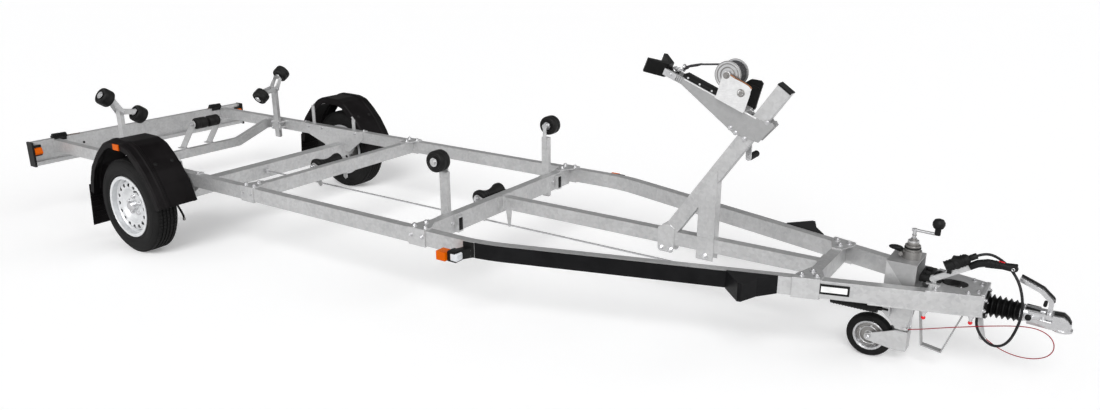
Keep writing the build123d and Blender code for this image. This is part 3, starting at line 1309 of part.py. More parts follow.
def coupling_head():
    """The coupling: shaft, pressed neck and the ball socket at the tip."""
    ball_x = COUPLING_TIP_X - BALL_RADIUS - 13
    ball_z = SHAFT_Z - 18
    shaft = rod((HEAD_REAR_X + 30, 0, SHAFT_Z), (BELLOWS_FRONT_X + 30, 0, SHAFT_Z), SHAFT_RADIUS)
    neck = rod((BELLOWS_FRONT_X, 0, SHAFT_Z), (BELLOWS_FRONT_X + 62, 0, SHAFT_Z), 33)
    side = [
        (BELLOWS_FRONT_X + 20, COUPLING_TOP_Z), (BELLOWS_FRONT_X + 104, COUPLING_TOP_Z),
        (ball_x, SHAFT_Z + 22), (COUPLING_TIP_X - 22, SHAFT_Z + 10), (COUPLING_TIP_X - 6, SHAFT_Z - 14),
        (COUPLING_TIP_X - 6, ball_z - 16), (ball_x - 40, ball_z - 20), (BELLOWS_FRONT_X + 20, SHAFT_Z - 33),
    ]
    plan = [
        (BELLOWS_FRONT_X + 10, -31), (ball_x - 40, -31), (ball_x - 12, -34), (ball_x + 12, -32),
        (ball_x + 28, -20), (COUPLING_TIP_X - 4, 0), (ball_x + 28, 20), (ball_x + 12, 32),
        (ball_x - 12, 34), (ball_x - 40, 31), (BELLOWS_FRONT_X + 10, 31),
    ]
    body = side_plate(side, -40, 40) & floor_plate(plan, 380, 500)
    lip = Pos(ball_x, 0, ball_z - 20) * Cylinder(BALL_RADIUS + 13, 8)
    head = neck + shaft + body + lip
    head -= Pos(ball_x, 0, ball_z) * Sphere(BALL_RADIUS + 0.3)
    head -= rod((ball_x, 0, ball_z - 30), (ball_x, 0, ball_z), BALL_RADIUS + 0.3)
    head -= block(ball_x - 60, COUPLING_TIP_X + 20, -60, 60, 340, ball_z - 24)
    return head


def coupling_handle():
    """The lifting handle of the coupling."""
    x = COUPLING_TIP_X - 88
    z = COUPLING_TOP_Z
    path = FilletPolyline(
        [(x, 0, z), (x, 0, z + 50), (x - 40, 0, z + 86), (x - 121, 0, z + 119)], radius=[18, 30]
    )
    start = Plane(origin=(x, 0, z), x_dir=(0, 1, 0), z_dir=(0, 0, 1))
    return sweep(start * Rectangle(34, 17), path=path)


def handbrake_lever():
    """The handbrake lever on the head's right side, with its grip and the plug holder."""
    y = -60.0
    z0 = FRAME_TOP + HEAD_PLATE
    foot = block(4425, 4480, y - 14, y + 14, z0, z0 + 6)
    ear = link((4448, z0 + 6), (4448, z0 + 24), 14, 14, y + 5, y + 11)
    ear = ear - block(4400, 4500, y - 30, y + 30, 400, z0)
    lever = link((4448, z0 + 24), (4604, 630), 12, 10, y - 5, y + 5)
    bend = link((4604, 630), (4640, 642), 10, 10, y - 5, y + 5)
    grip = rod((4632, y, 640), (4745, y, 650), 14)
    tail = Vector(*POWER_CABLE_ROUTE[-1])
    way = (tail - Vector(*POWER_CABLE_ROUTE[-2])).normalized()
    near = tail + way * 84
    far = tail + way * 104
    holder = block(far.X, near.X, y - 16, y + 16, 576, 606)
    holder -= rod(
        (tail.X, tail.Y, tail.Z), (far.X + way.X * 30, far.Y + way.Y * 30, far.Z + way.Z * 30), 22.3
    )
    return foot + ear + lever + bend + grip + holder


def foot_hoop():
    """The flat steel hoop under the head."""
    low = BEAM_BOTTOM - HEAD_PLATE
    path = [(4402, low), (4430, 213), (4516, 199), (4589, low)]
    hoop = side_plate(folded(path, 6.0), -32, -2)
    rear = block(4396, 4440, -32, -2, low - 6, low)
    front = block(4560, 4596, -32, -2, low - 6, low)
    return (hoop + rear + front) - block(4300, 4700, -60, 60, low, low + 60)


def brake_rod():
    """The brake rod under the frame, its fork on the axle and the spring cylinder behind the head."""
    y = -66.0
    axle_face = AXLE_X + AXLE_SIZE / 2
    fork = block(axle_face, axle_face + 30, y - 14, y + 14, BRAKE_ROD_Z - 14, BRAKE_ROD_Z + 14)
    line = rod((axle_face + 20, y, BRAKE_ROD_Z), (4296, y, BRAKE_ROD_Z), 5)
    cylinder = rod((4050, y, BRAKE_ROD_Z), (4250, y, BRAKE_ROD_Z), 23)
    return fork + line + cylinder


def side_strips():
    """Moulded strips on the outer faces of the nose beams, each ending in a step wedge."""
    half = BEAM_WIDTH / 2
    low = BEAM_BOTTOM + 3
    high = FRAME_TOP - 1
    strip = beam_strip(2000, 3700, half, half + 6, low, high) & block(2545, 3690, 0, 900, 0, 900)
    plan = [
        (3677, nose_y(3677, half)), (3677, nose_y(3677, half + 8)), (3772, 488), (3788, 486),
        (3822, 398), (3875, nose_y(3875, half + 10)), (3884, nose_y(3884, half)),
    ]
    wedge = floor_plate(plan, BEAM_BOTTOM, FRAME_TOP + 3)
    inside = [
        (3715, nose_y(3715, half + 4)), (3772, 470), (3812, 392), (3856, nose_y(3856, half + 4)),
    ]
    wedge -= floor_plate(inside, BEAM_BOTTOM - 1, FRAME_TOP - 2)
    guard = strip + wedge
    return joined(guard, mirrored(guard))


# ---------------------------------------------------------------- cords
def cord(name, points, diameter):
    """A cord's tube: straight runs joined by tangent arcs through hand-chosen points."""
    vectors = [Vector(*p) for p in points]
    radii = []
    for a, b, c in zip(vectors, vectors[1:], vectors[2:]):
        turn = (b - a).get_angle(c - b)
        shorter = min((b - a).length, (c - b).length)
        radii.append(0.45 * shorter / tan(radians(turn) / 2))
    path = FilletPolyline(points, radius=radii)
    start = Plane(origin=points[0], z_dir=vectors[1] - vectors[0])
    tube = sweep(start * Circle(diameter / 2), path=path)
    section = pi * diameter ** 2 / 4
    print(name, "radii", [round(r) for r in radii])
    print(name, "length", round(path.length), "volume ratio", round(tube.volume / (section * path.length), 4))
    return tube


def power_plug():
    """The seven-pin plug on the end of the power cable, lying in its holder."""
    tail = Vector(*POWER_CABLE_ROUTE[-1])
    way = (tail - Vector(*POWER_CABLE_ROUTE[-2])).normalized()
    profile = [
        (0, 0), (8, 0), (11, 14), (22, 24), (24, 60), (26, 64), (26, 74), (22, 78), (22, 112), (0, 112)
    ]
    return turned(profile, (tail.X, tail.Y, tail.Z), (way.X, way.Y, way.Z))


# ---------------------------------------------------------------- the whole trailer
def moving_nodes():
    """Nodes of the wheels, rollers, rockers and jockey wheel."""
    nodes = {}
    pairs = [
        # name, left-hand shape
        ("tyre", wheel_tyre()), ("rim", wheel_rim()), ("hub", wheel_hub()),
    ]
    for name, shape in pairs:
        nodes[name + "_left"] = shape
        nodes[name + "_right"] = mirrored(shape)
    for side, pivot_z in pivot_rows():
        label = "left" if side > 0 else "right"
        trio = {
            "rocker_": rocker(pivot_z), "outer_roller_": rocker_roller(pivot_z, 1),
            "inner_roller_": rocker_roller(pivot_z, -1),
        }
        for name, shape in trio.items():
            nodes[name + label] = shape if side > 0 else mirrored(shape)
    rims = {side: joined(nodes.pop("rim_" + side), nodes.pop("hub_" + side)) for side in ("left", "right")}
    nodes["rim_left"] = rims["left"]
    nodes["rim_right"] = rims["right"]
    right_row, left_row = middle_rows()
    nodes["middle_roller_left"] = middle_roller(left_row)
    nodes["middle_roller_right"] = middle_roller(right_row)
    nodes["rear_keel_roller"] = keel_roller(REAR_MEMBER_X, REAR_KEEL_Y)
    nodes["middle_keel_roller"] = keel_roller(MIDDLE_MEMBER_X, MIDDLE_KEEL_Y)
    nodes["cradle_roller"] = cradle_roller()
    nodes["jockey_leg"] = jockey_leg()
    nodes["jockey_rim"] = jockey_rim()
    nodes["jockey_tyre"] = jockey_tyre()
    return nodes


def fixed_nodes():
    """Nodes of the chassis."""
    beam = side_beam()
    guard = mudguard()
    return {
        "side_beam_left": beam,
        "side_beam_right": mirrored(beam),
        "rear_cross_member": straight_member(REAR_MEMBER_X, BEAM_HEIGHT),
        "middle_cross_member": straight_member(MIDDLE_MEMBER_X, MIDDLE_MEMBER_HEIGHT),
        "front_cross_member": front_member(),
        "centre_beam": centre_beam(),
        "frame_clamps": frame_clamps(),
        "torsion_axle": torsion_axle(),
        "axle_brackets": axle_brackets(),
        "mudguards": joined(guard, mirrored(guard)),
        "mudguard_stays": mudguard_stays(),
        "light_beam": light_beam(),
        "light_beam_caps": light_beam_caps(),
        "tail_lamps": tail_lamps(),
        "amber_lamps": amber_lamps(),
        "front_marker_lamps": front_marker_lamps(),
        "dropped_crossbar": dropped_crossbar(),
        "keel_roller_brackets": keel_roller_brackets(),
        "roller_posts": roller_posts(),
        "post_clamps": post_clamps(),
        "winch_post": winch_post(),
        "winch_post_brackets": winch_post_brackets(),
        "winch_head": winch_head(),
        "winch_frame": winch_frame(),
        "winch_drum": winch_drum(),
        "winch_crank": winch_crank(),
        "winch_strap": winch_strap(),
        "bow_stop": bow_stop(),
        "drawbar_head": drawbar_head(),
        "jockey_sleeve": jockey_sleeve(),
        "jockey_crank": jockey_crank(),
        "bellows": bellows(),
        "coupling_head": coupling_head(),
        "coupling_handle": coupling_handle(),
        "handbrake_lever": handbrake_lever(),
        "foot_hoop": foot_hoop(),
        "brake_rod": brake_rod(),
        "side_strips": side_strips(),
    }


def cord_nodes():
    """Nodes of the loose cables and the plug."""
    return {
        "power_cable": cord("power_cable", POWER_CABLE_ROUTE, POWER_CABLE_DIAMETER),
        "power_plug": power_plug(),
        "breakaway_cable": cord("breakaway_cable", BREAKAWAY_ROUTE, BREAKAWAY_DIAMETER),
    }


def key_points():
    """Pivots and fixings: name, point and direction in the trailer's axes."""
    tilt = radians(ROCKER_TILT)
    axle = (cos(tilt), sin(tilt))
    keel_back = MEMBER_DEPTH / 2 + KEEL_AXLE_BACK
    rows = [
        ("wheel_left", (0, WHEEL_Y, WHEEL_RADIUS), (0, 1, 0)),
        ("wheel_right", (0, -WHEEL_Y, WHEEL_RADIUS), (0, 1, 0)),
        ("jockey_leg", (JOCKEY_X, 0, SLEEVE_BOTTOM), (0, 0, -1)),
        ("jockey_wheel", (JOCKEY_WHEEL_X, 0, JOCKEY_WHEEL_Z), (0, 1, 0)),
        (
            "ball_socket",
            (COUPLING_TIP_X - BALL_RADIUS - 13, 0, SHAFT_Z - 30),
            (0, 0, -1),
        ),
        ("rear_keel_roller", (REAR_MEMBER_X - keel_back, REAR_KEEL_Y, KEEL_AXLE_Z), (0, 1, 0)),
        ("middle_keel_roller", (MIDDLE_MEMBER_X - keel_back, MIDDLE_KEEL_Y, KEEL_AXLE_Z), (0, 1, 0)),
        ("cradle_roller", (CRADLE_AXLE_X, CRADLE_Y, CRADLE_AXLE_Z), (0, 1, 0)),
    ]
    post_x = MIDDLE_MEMBER_X - MEMBER_DEPTH / 2 - POST_X_SIZE / 2
    for side, post_y, roller_y in middle_rows():
        name = "middle_roller_left" if side > 0 else "middle_roller_right"
        rows.append((name, (post_x, roller_y, MID_POST_TOP + MID_ROLLER_RISE), (0, 1, 0)))
    for side, pivot_z in pivot_rows():
        label = "left" if side > 0 else "right"
        pivot = (REAR_POST_X, side * REAR_POST_Y, pivot_z)
        rows.append(("rocker_" + label, pivot, (side, 0, 0)))
        for sign, name in ((1, "outer_roller_"), (-1, "inner_roller_")):
            out = sign * ROCKER_SPREAD * axle[0] - ROCKER_RISE * axle[1]
            up = sign * ROCKER_SPREAD * axle[1] + ROCKER_RISE * axle[0]
            point = (pivot[0], pivot[1] + side * out, pivot[2] + up)
            rows.append((name + label, point, (0, side * axle[0], axle[1])))
    return rows


def parked(shape):
    """The shape tipped nose-down about the wheel centres."""
    return Pos(0, 0, WHEEL_RADIUS) * Rot(0, parked_angle(), 0) * Pos(0, 0, -WHEEL_RADIUS) * shape


def main():
    os.makedirs("parts", exist_ok=True)
    solids = {name: parked(shape) for name, shape in {**fixed_nodes(), **moving_nodes()}.items()}
    cords = {name: parked(shape) for name, shape in cord_nodes().items()}
    box = Compound([s for shape in solids.values() for s in shape.solids()]).bounding_box()
    shift = Pos(-(box.min.X + box.max.X) / 2, -(box.min.Y + box.max.Y) / 2, -box.min.Z)
    for name, shape in {**solids, **cords}.items():
        export_step(shift * shape, "parts/" + name + ".step")
    print("tip angle", round(parked_angle(), 5))
    print("shift", [round(v, 4) for v in shift.position])
    print("size", [round(v, 2) for v in box.size])
    turn = radians(parked_angle())
    for name, point, way in key_points():
        dx = point[0]
        dz = point[2] - WHEEL_RADIUS
        moved = (
            dx * cos(turn) + dz * sin(turn) + shift.position.X, point[1] + shift.position.Y,
            WHEEL_RADIUS - dx * sin(turn) + dz * cos(turn) + shift.position.Z,
        )
        turned_way = (
            way[0] * cos(turn) + way[2] * sin(turn), way[1], way[2] * cos(turn) - way[0] * sin(turn)
        )
        print("point", name, *[round(v, 4) for v in moved], *[round(v, 7) for v in turned_way])


main()
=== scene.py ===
"""Boat trailer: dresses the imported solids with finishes, fastenings, tread, mouldings and cables.

Every size is in millimetres in the trailer's own level axes: X forward from the wheel centres, Y to
the left and Z up from the plane under the tyres. PARKED tips them nose-down to where the trailer
stands on its jockey wheel, in metres.
"""

import logging
import math
from dataclasses import dataclass, field
from enum import Enum
from typing import Callable, Iterable, Iterator, Sequence

import bpy
from mathutils import Matrix, Vector


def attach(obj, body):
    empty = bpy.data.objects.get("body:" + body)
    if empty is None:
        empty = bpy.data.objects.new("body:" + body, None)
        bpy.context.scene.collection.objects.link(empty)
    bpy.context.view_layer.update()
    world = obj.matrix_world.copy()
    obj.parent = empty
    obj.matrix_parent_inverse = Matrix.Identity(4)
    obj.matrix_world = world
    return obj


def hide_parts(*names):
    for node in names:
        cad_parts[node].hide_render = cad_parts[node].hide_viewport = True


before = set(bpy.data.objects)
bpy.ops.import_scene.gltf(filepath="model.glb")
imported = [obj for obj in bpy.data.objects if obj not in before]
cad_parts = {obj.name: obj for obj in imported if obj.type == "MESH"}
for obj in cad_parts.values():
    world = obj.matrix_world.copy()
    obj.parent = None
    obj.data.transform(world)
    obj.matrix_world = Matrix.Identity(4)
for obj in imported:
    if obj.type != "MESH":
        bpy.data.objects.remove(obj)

LOG = logging.getLogger("boat_trailer")
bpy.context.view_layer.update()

TIP = math.radians(1.31903)
WHEEL_CENTRE_Z = 298.0
WHEEL_Y = 880.0
SHIFT_X = -1801.6408
BEAM_TOP = 511.0
NOSE_END_X, NOSE_END_Y = 4645.0, 61.5
REAR_POST_X, REAR_POST_Y = -523.0, 627.5
ROCKER_PIVOTS = {"left": 749.0, "right": 779.0}
JOCKEY_WHEEL = (4215.0, 0.0, 197.0)
KEEL_AXLES = (
    # name, middle, half of the length between its nuts
    ("rear_keel", (773.0, -30.0, 487.0), 119.0), ("middle_keel", (2078.0, 0.0, 487.0), 119.0),
    ("cradle", (-515.0, -3.0, 602.0), 120.0),
)
SIDES = (-1, 1)
UP, LEFT, RIGHT, AHEAD, BACK = (0, 0, 1), (0, 1, 0), (0, -1, 0), (1, 0, 0), (-1, 0, 0)
MERGE_WITHIN = 0.00002
# Edges that turn by more than these degrees stay sharp.
SMOOTH, SMOOTH_BOLT, SMOOTH_TYRE, SMOOTH_WHEEL, SMOOTH_RUBBER = 32.0, 25.0, 28.0, 30.0, 34.0
BEVEL_FROM = math.radians(30.0)
PARKED = (
    Matrix.Translation((SHIFT_X / 1000, 0.0, WHEEL_CENTRE_Z / 1000))
    @ Matrix.Rotation(TIP, 4, "Y")
    @ Matrix.Translation((0.0, 0.0, -WHEEL_CENTRE_Z / 1000))
)
LEVEL = PARKED.inverted()

Point = tuple[float, float, float]
Pair = tuple[float, float]
Socket = bpy.types.NodeSocket
Stops = Sequence[tuple[float, Sequence[float]]]
Inputs = dict[str | int, object]
FaceTest = Callable[[Vector], bool]


def parked(point: Sequence[float]) -> Vector:
    """A point of the level trailer, in millimetres, where it stands parked, in metres."""
    return PARKED @ (Vector(point) / 1000)


class Axis(Enum):
    """The three directions of the trailer's own axes."""

    X = (1.0, 0.0, 0.0)
    Y = (0.0, 1.0, 0.0)
    Z = (0.0, 0.0, 1.0)


# ---------------------------------------------------------------- finishes
class Nodes:
    """A node tree under construction, with short calls for the nodes used here."""

    def __init__(self, tree: bpy.types.NodeTree) -> None:
        """Empties the tree."""
        self.tree = tree
        tree.nodes.clear()

    def add(self, kind: str, inputs: Inputs | None = None, **settings: object) -> bpy.types.Node:
        """Adds a node.

        Args:
            kind: its type, without the ShaderNode in front.
            inputs: a number, a colour or another node's socket for each named input.
            settings: the node's own properties.

        Returns:
            The node.
        """
        node = self.tree.nodes.new("ShaderNode" + kind)
        for key, value in settings.items():
            setattr(node, key, value)
        self.feed(node, inputs or {})
        return node

    def feed(self, node: bpy.types.Node, inputs: Inputs) -> None:
        """Gives a node's inputs their values.

        Args:
            node: the node.
            inputs: a plain value or another node's socket for each named input.
        """
        for key, value in inputs.items():
            if isinstance(value, Socket):
                self.tree.links.new(value, node.inputs[key])
            else:
                node.inputs[key].default_value = value

    def ramp(self, source: Socket, stops: Stops) -> Socket:
        """Maps a factor through colour stops.

        Args:
            source: the factor.
            stops: a position and a linear colour for each stop.

        Returns:
            The socket with the colour.
        """
        node = self.add("ValToRGB", {"Fac": source})
        ends = node.color_ramp.elements
        while len(ends) < len(stops):
            ends.new(0.5)
        for element, (position, colour) in zip(ends, stops):
            element.position = position
            element.color = (*colour, 1.0)
        return node.outputs["Color"]


class Shader(Nodes):
    """A node material under construction."""

    def __init__(self, name: str) -> None:
        """Starts a material with its output and surface shader.

        Args:
            name: the material's name.
        """
        self.material = bpy.data.materials.new(name)
        self.material.use_nodes = True
        super().__init__(self.material.node_tree)
        self.surface = self.add("BsdfPrincipled")
        self.output = self.add("OutputMaterial", {"Surface": self.surface.outputs[0]})
        self.where = self.add("TexCoord").outputs["Object"]

    def stretched(self, scale: Point) -> Socket:
        """Object coordinates scaled differently along each axis."""
        return self.add("Mapping", {"Scale": scale, "Vector": self.where}).outputs["Vector"]

    def noise(
        self, scale: float, detail: float = 3.0, rough: float = 0.5, at: Socket | None = None
    ) -> Socket:
        """A noise pattern.

        Args:
            scale: features per metre.
            detail: octaves.
            rough: weight of the finer octaves.
            at: the coordinates it reads, the object's own when left out.

        Returns:
            The socket with its factor.
        """
        inputs = {"Scale": scale, "Detail": detail, "Roughness": rough, "Vector": at or self.where}
        return self.add("TexNoise", inputs).outputs["Fac"]

    def cells(self, scale: float) -> Socket:
        """A flat-celled crystal pattern, one grey to a cell."""
        node = self.add("TexVoronoi", {"Scale": scale, "Randomness": 1.0, "Vector": self.where})
        return self.add("SeparateColor", {0: node.outputs["Color"]}).outputs[0]

    def wave(self, scale: float, axis: Axis) -> Socket:
        """Sine bands across one axis."""
        inputs = {"Scale": scale, "Vector": self.where}
        return self.add("TexWave", inputs, bands_direction=axis.name).outputs["Fac"]

    def sum(self, a: Socket, b: Socket, share: float) -> Socket:
        """Mixes two factors, with that share of the second."""
        return self.add("Mix", {0: share, 2: a, 3: b}, data_type="FLOAT").outputs[0]

    def coat(
        self, tone: Socket, stops: Stops, gloss: Socket, rough: Pair, others: Inputs | None = None
    ) -> None:
        """Sets the surface's colour, roughness and other inputs.

        Args:
            tone: the factor that the colour follows.
            stops: the colour's stops along it.
            gloss: the factor that the roughness follows.
            rough: roughness where that factor is 0 and where it is 1.
            others: further inputs of the surface shader.
        """
        low, high = rough
        spread = self.add("MapRange", {"To Min": low, "To Max": high, "Value": gloss})
        inputs = {"Base Color": self.ramp(tone, stops), "Roughness": spread.outputs["Result"]}
        self.feed(self.surface, inputs | (others or {}))

    def relief(self, source: Socket, strength: float, depth: float, edge: float = 0.0) -> bpy.types.Material:
        """Bumps the surface by a factor and softens its sharp edges.

        Args:
            source: the height factor.
            strength: share of the bump that shows.
            depth: height of the bump in metres.
            edge: radius of the softened edges in metres, none at zero.

        Returns:
            The finished material.
        """
        inputs = {"Strength": strength, "Distance": depth, "Height": source}
        if edge:
            inputs["Normal"] = self.add("Bevel", {"Radius": edge}, samples=4).outputs["Normal"]
        self.feed(self.surface, {"Normal": self.add("Bump", inputs).outputs["Normal"]})
        return self.material


@dataclass(frozen=True)
class Galvanised:
    """Hot-dip galvanised steel: faint spangle, cloudy patches and fine runs of zinc."""

    name: str
    pale: float = 0.66
    dark: float = 0.50
    rough: float = 0.42

    def build(self) -> bpy.types.Material:
        """Mixes spangle, cloudy patches and runs of zinc.

        Returns:
            The material.
        """
        shade = Shader(self.name)
        pale, dark = self.pale, self.dark
        spangle = shade.sum(shade.cells(70.0), shade.cells(23.0), 0.35)
        runs = shade.noise(1.0, 4.0, 0.6, shade.stretched((9.0, 90.0, 60.0)))
        both = shade.sum(shade.sum(spangle, shade.noise(5.0, 5.0, 0.62), 0.6), runs, 0.25)
        stops = [
            (0.30, (dark, dark * 1.005, dark * 1.015)),
            (0.50, ((dark + pale) / 2,) * 3),
            (0.72, (pale, pale * 1.003, pale * 1.006)),
        ]
        shade.coat(both, stops, both, (self.rough + 0.12, self.rough - 0.06), {"Metallic": 0.72})
        return shade.relief(shade.sum(both, shade.noise(420.0, 2.0), 0.3), 0.25, 0.0005, 0.0022)


@dataclass(frozen=True)
class BrightMetal:
    """Bright zinc plate or polished steel with fine turning and handling marks."""

    name: str
    tone: Point = (0.72, 0.72, 0.73)
    rough: float = 0.24
    metallic: float = 0.95

    def build(self) -> bpy.types.Material:
        """Draws fine turning and handling marks over the metal.

        Returns:
            The material.
        """
        shade = Shader(self.name)
        marks = shade.noise(1.0, 3.0, 0.6, shade.stretched((60.0, 260.0, 240.0)))
        both = shade.sum(shade.noise(38.0, 4.0, 0.55), marks, 0.45)
        stops = [(0.30, [0.80 * c for c in self.tone]), (0.66, self.tone)]
        shade.coat(both, stops, both, (self.rough + 0.14, self.rough - 0.06), {"Metallic": self.metallic})
        return shade.relief(both, 0.18, 0.0003, 0.0010)


@dataclass(frozen=True)
class RimPaint:
    """Silver wheel paint: fine flake under a thin clear coat, with brake dust."""

    name: str = "wheel_silver"

    def build(self) -> bpy.types.Material:
        """Mixes fine flake and brake dust under the clear coat.

        Returns:
            The material.
        """
        shade = Shader(self.name)
        flake = shade.noise(2200.0, 1.0)
        dust = shade.noise(14.0, 5.0, 0.65)
        stops = [(0.28, (0.62, 0.63, 0.64)), (0.62, (0.86, 0.87, 0.88))]
        others = {"Metallic": 0.55, "Coat Weight": 0.25}
        shade.coat(shade.sum(flake, dust, 0.55), stops, dust, (0.42, 0.30), others)
        return shade.relief(flake, 0.08, 0.0002, 0.0012)


@dataclass(frozen=True)
class Rubber:
    """Black rubber: mould skin, a dusty bloom and a fine grain."""

    name: str
    tone: float = 0.005
    bloom: float = 0.013
    rough: float = 0.62
    grain: float = 900.0

    def build(self) -> bpy.types.Material:
        """Lays a dusty bloom and a fine grain over the rubber's black.

        Returns:
            The material.
        """
        shade = Shader(self.name)
        patch = shade.noise(17.0, 5.0, 0.6)
        stops = [(0.34, (self.tone,) * 3), (0.74, (self.bloom, self.bloom * 0.98, self.bloom * 0.97))]
        rough = (self.rough - 0.08, self.rough + 0.12)
        shade.coat(patch, stops, patch, rough, {"Specular IOR Level": 0.16})
        return shade.relief(shade.noise(self.grain, 2.0), 0.22, 0.0003, 0.0012)


@dataclass(frozen=True)
class MouldedPlastic:
    """Moulded plastic with a spark-eroded grain."""

    name: str
    tone: Point = (0.008, 0.008, 0.008)
    rough: float = 0.46
    grain: float = 1300.0
    shine: float = 0.16

    def build(self) -> bpy.types.Material:
        """Lays a moulded grain over the plastic's colour.

        Returns:
            The material.
        """
        shade = Shader(self.name)
        grain = shade.noise(self.grain, 2.0, 0.6)
        stops = [(0.36, self.tone), (0.78, [min(1.0, 1.5 * c + 0.003) for c in self.tone])]
        rough = (self.rough - 0.07, self.rough + 0.09)
        shade.coat(shade.noise(11.0, 4.0, 0.55), stops, grain, rough, {"Specular IOR Level": self.shine})
        return shade.relief(grain, 0.20, 0.0003, 0.0014)


@dataclass(frozen=True)
class Lens:
    """A lamp lens: clear-moulded colour over fine ribs."""

    name: str
    tone: Point
    deep: Point
    ribs: float = 110.0

    def build(self) -> bpy.types.Material:
        """Draws crossing ribs in the lens's colour.

        Returns:
            The material.
        """
        shade = Shader(self.name)
        grid = shade.sum(shade.wave(self.ribs, Axis.Z), shade.wave(self.ribs, Axis.X), 0.35)
        both = shade.sum(grid, shade.noise(60.0), 0.2)
        stops = [(0.15, self.deep), (0.75, self.tone)]
        shade.coat(both, stops, both, (0.18, 0.30), {"Specular IOR Level": 0.07})
        return shade.relief(both, 0.35, 0.0006, 0.0012)


@dataclass(frozen=True)
class CableSheath:
    """The sheath of a cable: smooth extruded plastic with a little dust."""

    name: str
    tone: Point
    rough: float = 0.40

    def build(self) -> bpy.types.Material:
        """Lays a little dust over the sheath's colour.

        Returns:
            The material.
        """
        shade = Shader(self.name)
        dust = shade.noise(45.0, 4.0, 0.6)
        stops = [(0.40, self.tone), (0.78, [min(1.0, c * 1.3 + 0.003) for c in self.tone])]
        shade.coat(dust, stops, dust, (self.rough - 0.06, self.rough + 0.12), {"Specular IOR Level": 0.2})
        return shade.relief(shade.noise(700.0, 2.0), 0.12, 0.0002)


@dataclass(frozen=True)
class Webbing:
    """Woven polyester strap."""

    name: str = "strap_weave"

    def build(self) -> bpy.types.Material:
        """Draws the crossing bands of the weave.

        Returns:
            The material.
        """
        shade = Shader(self.name)
        weave = shade.sum(shade.wave(170.0, Axis.Y), shade.wave(120.0, Axis.X), 0.45)
        stops = [(0.2, (0.005, 0.004, 0.006)), (0.8, (0.020, 0.017, 0.021))]
        shade.coat(weave, stops, weave, (0.92, 0.74), {"Sheen Weight": 0.08})
        return shade.relief(weave, 0.6, 0.0007)


class Finish(Enum):
    """Every finish on the trailer."""

    TUBE = Galvanised("galvanised_tube_finish")
    PLATE = Galvanised("galvanised_plate_finish", 0.68, 0.54, 0.36)
    SHEET = Galvanised("galvanised_sheet_finish", 0.46, 0.40, 0.48)
    ZINC = BrightMetal("bright_zinc_finish")
    POLISHED = BrightMetal("polished_steel_finish", (0.80, 0.80, 0.81), 0.14, 0.98)
    BRIGHT = BrightMetal("bright_cheek_finish", (0.93, 0.93, 0.93), 0.40, 0.75)
    BRONZE = BrightMetal("bronze_edge_finish", (0.30, 0.12, 0.05), 0.36, 0.9)
    DULL_STEEL = BrightMetal("dull_steel_finish", (0.34, 0.33, 0.32), 0.42, 0.85)
    SILVER = RimPaint()
    TYRE = Rubber("tyre_rubber_finish")
    ROLLER = Rubber("roller_rubber_finish", 0.008, 0.015, 0.44, 700.0)
    BOOT = Rubber("boot_rubber_finish", 0.003, 0.007, 0.34, 800.0)
    PLASTIC = MouldedPlastic("black_plastic_finish")
    GUARD = MouldedPlastic("guard_plastic_finish", (0.0042, 0.0034, 0.0037), 0.44, 950.0, 0.08)
    STRIP = MouldedPlastic("strip_plastic_finish", (0.0045, 0.0045, 0.005), 0.38, 1500.0, 0.10)
    WHITE = MouldedPlastic("white_plastic_finish", (0.70, 0.70, 0.69), 0.42, 1300.0, 0.4)
    RED_CAP = MouldedPlastic("red_cap_finish", (0.55, 0.004, 0.010), 0.38, 1300.0, 0.3)
    AMBER = Lens("amber_lens_finish", (0.69, 0.130, 0.0), (0.56, 0.072, 0.0))
    RED_LENS = Lens("red_lens_finish", (0.62, 0.012, 0.012), (0.30, 0.004, 0.004))
    CLEAR = Lens("clear_lens_finish", (0.80, 0.82, 0.84), (0.42, 0.43, 0.45))
    BLACK_CABLE = CableSheath("black_sheath_finish", (0.013, 0.013, 0.014))
    BROWN_CABLE = CableSheath("brown_sheath_finish", (0.10, 0.055, 0.030))
    RED_CABLE = CableSheath("red_sheath_finish", (0.26, 0.0, 0.012), 0.46)
    STRAP = Webbing()

    def material(self) -> bpy.types.Material:
        """The finish's material, built when it is first asked for."""
        found = bpy.data.materials.get(self.value.name)
        return found or self.value.build()


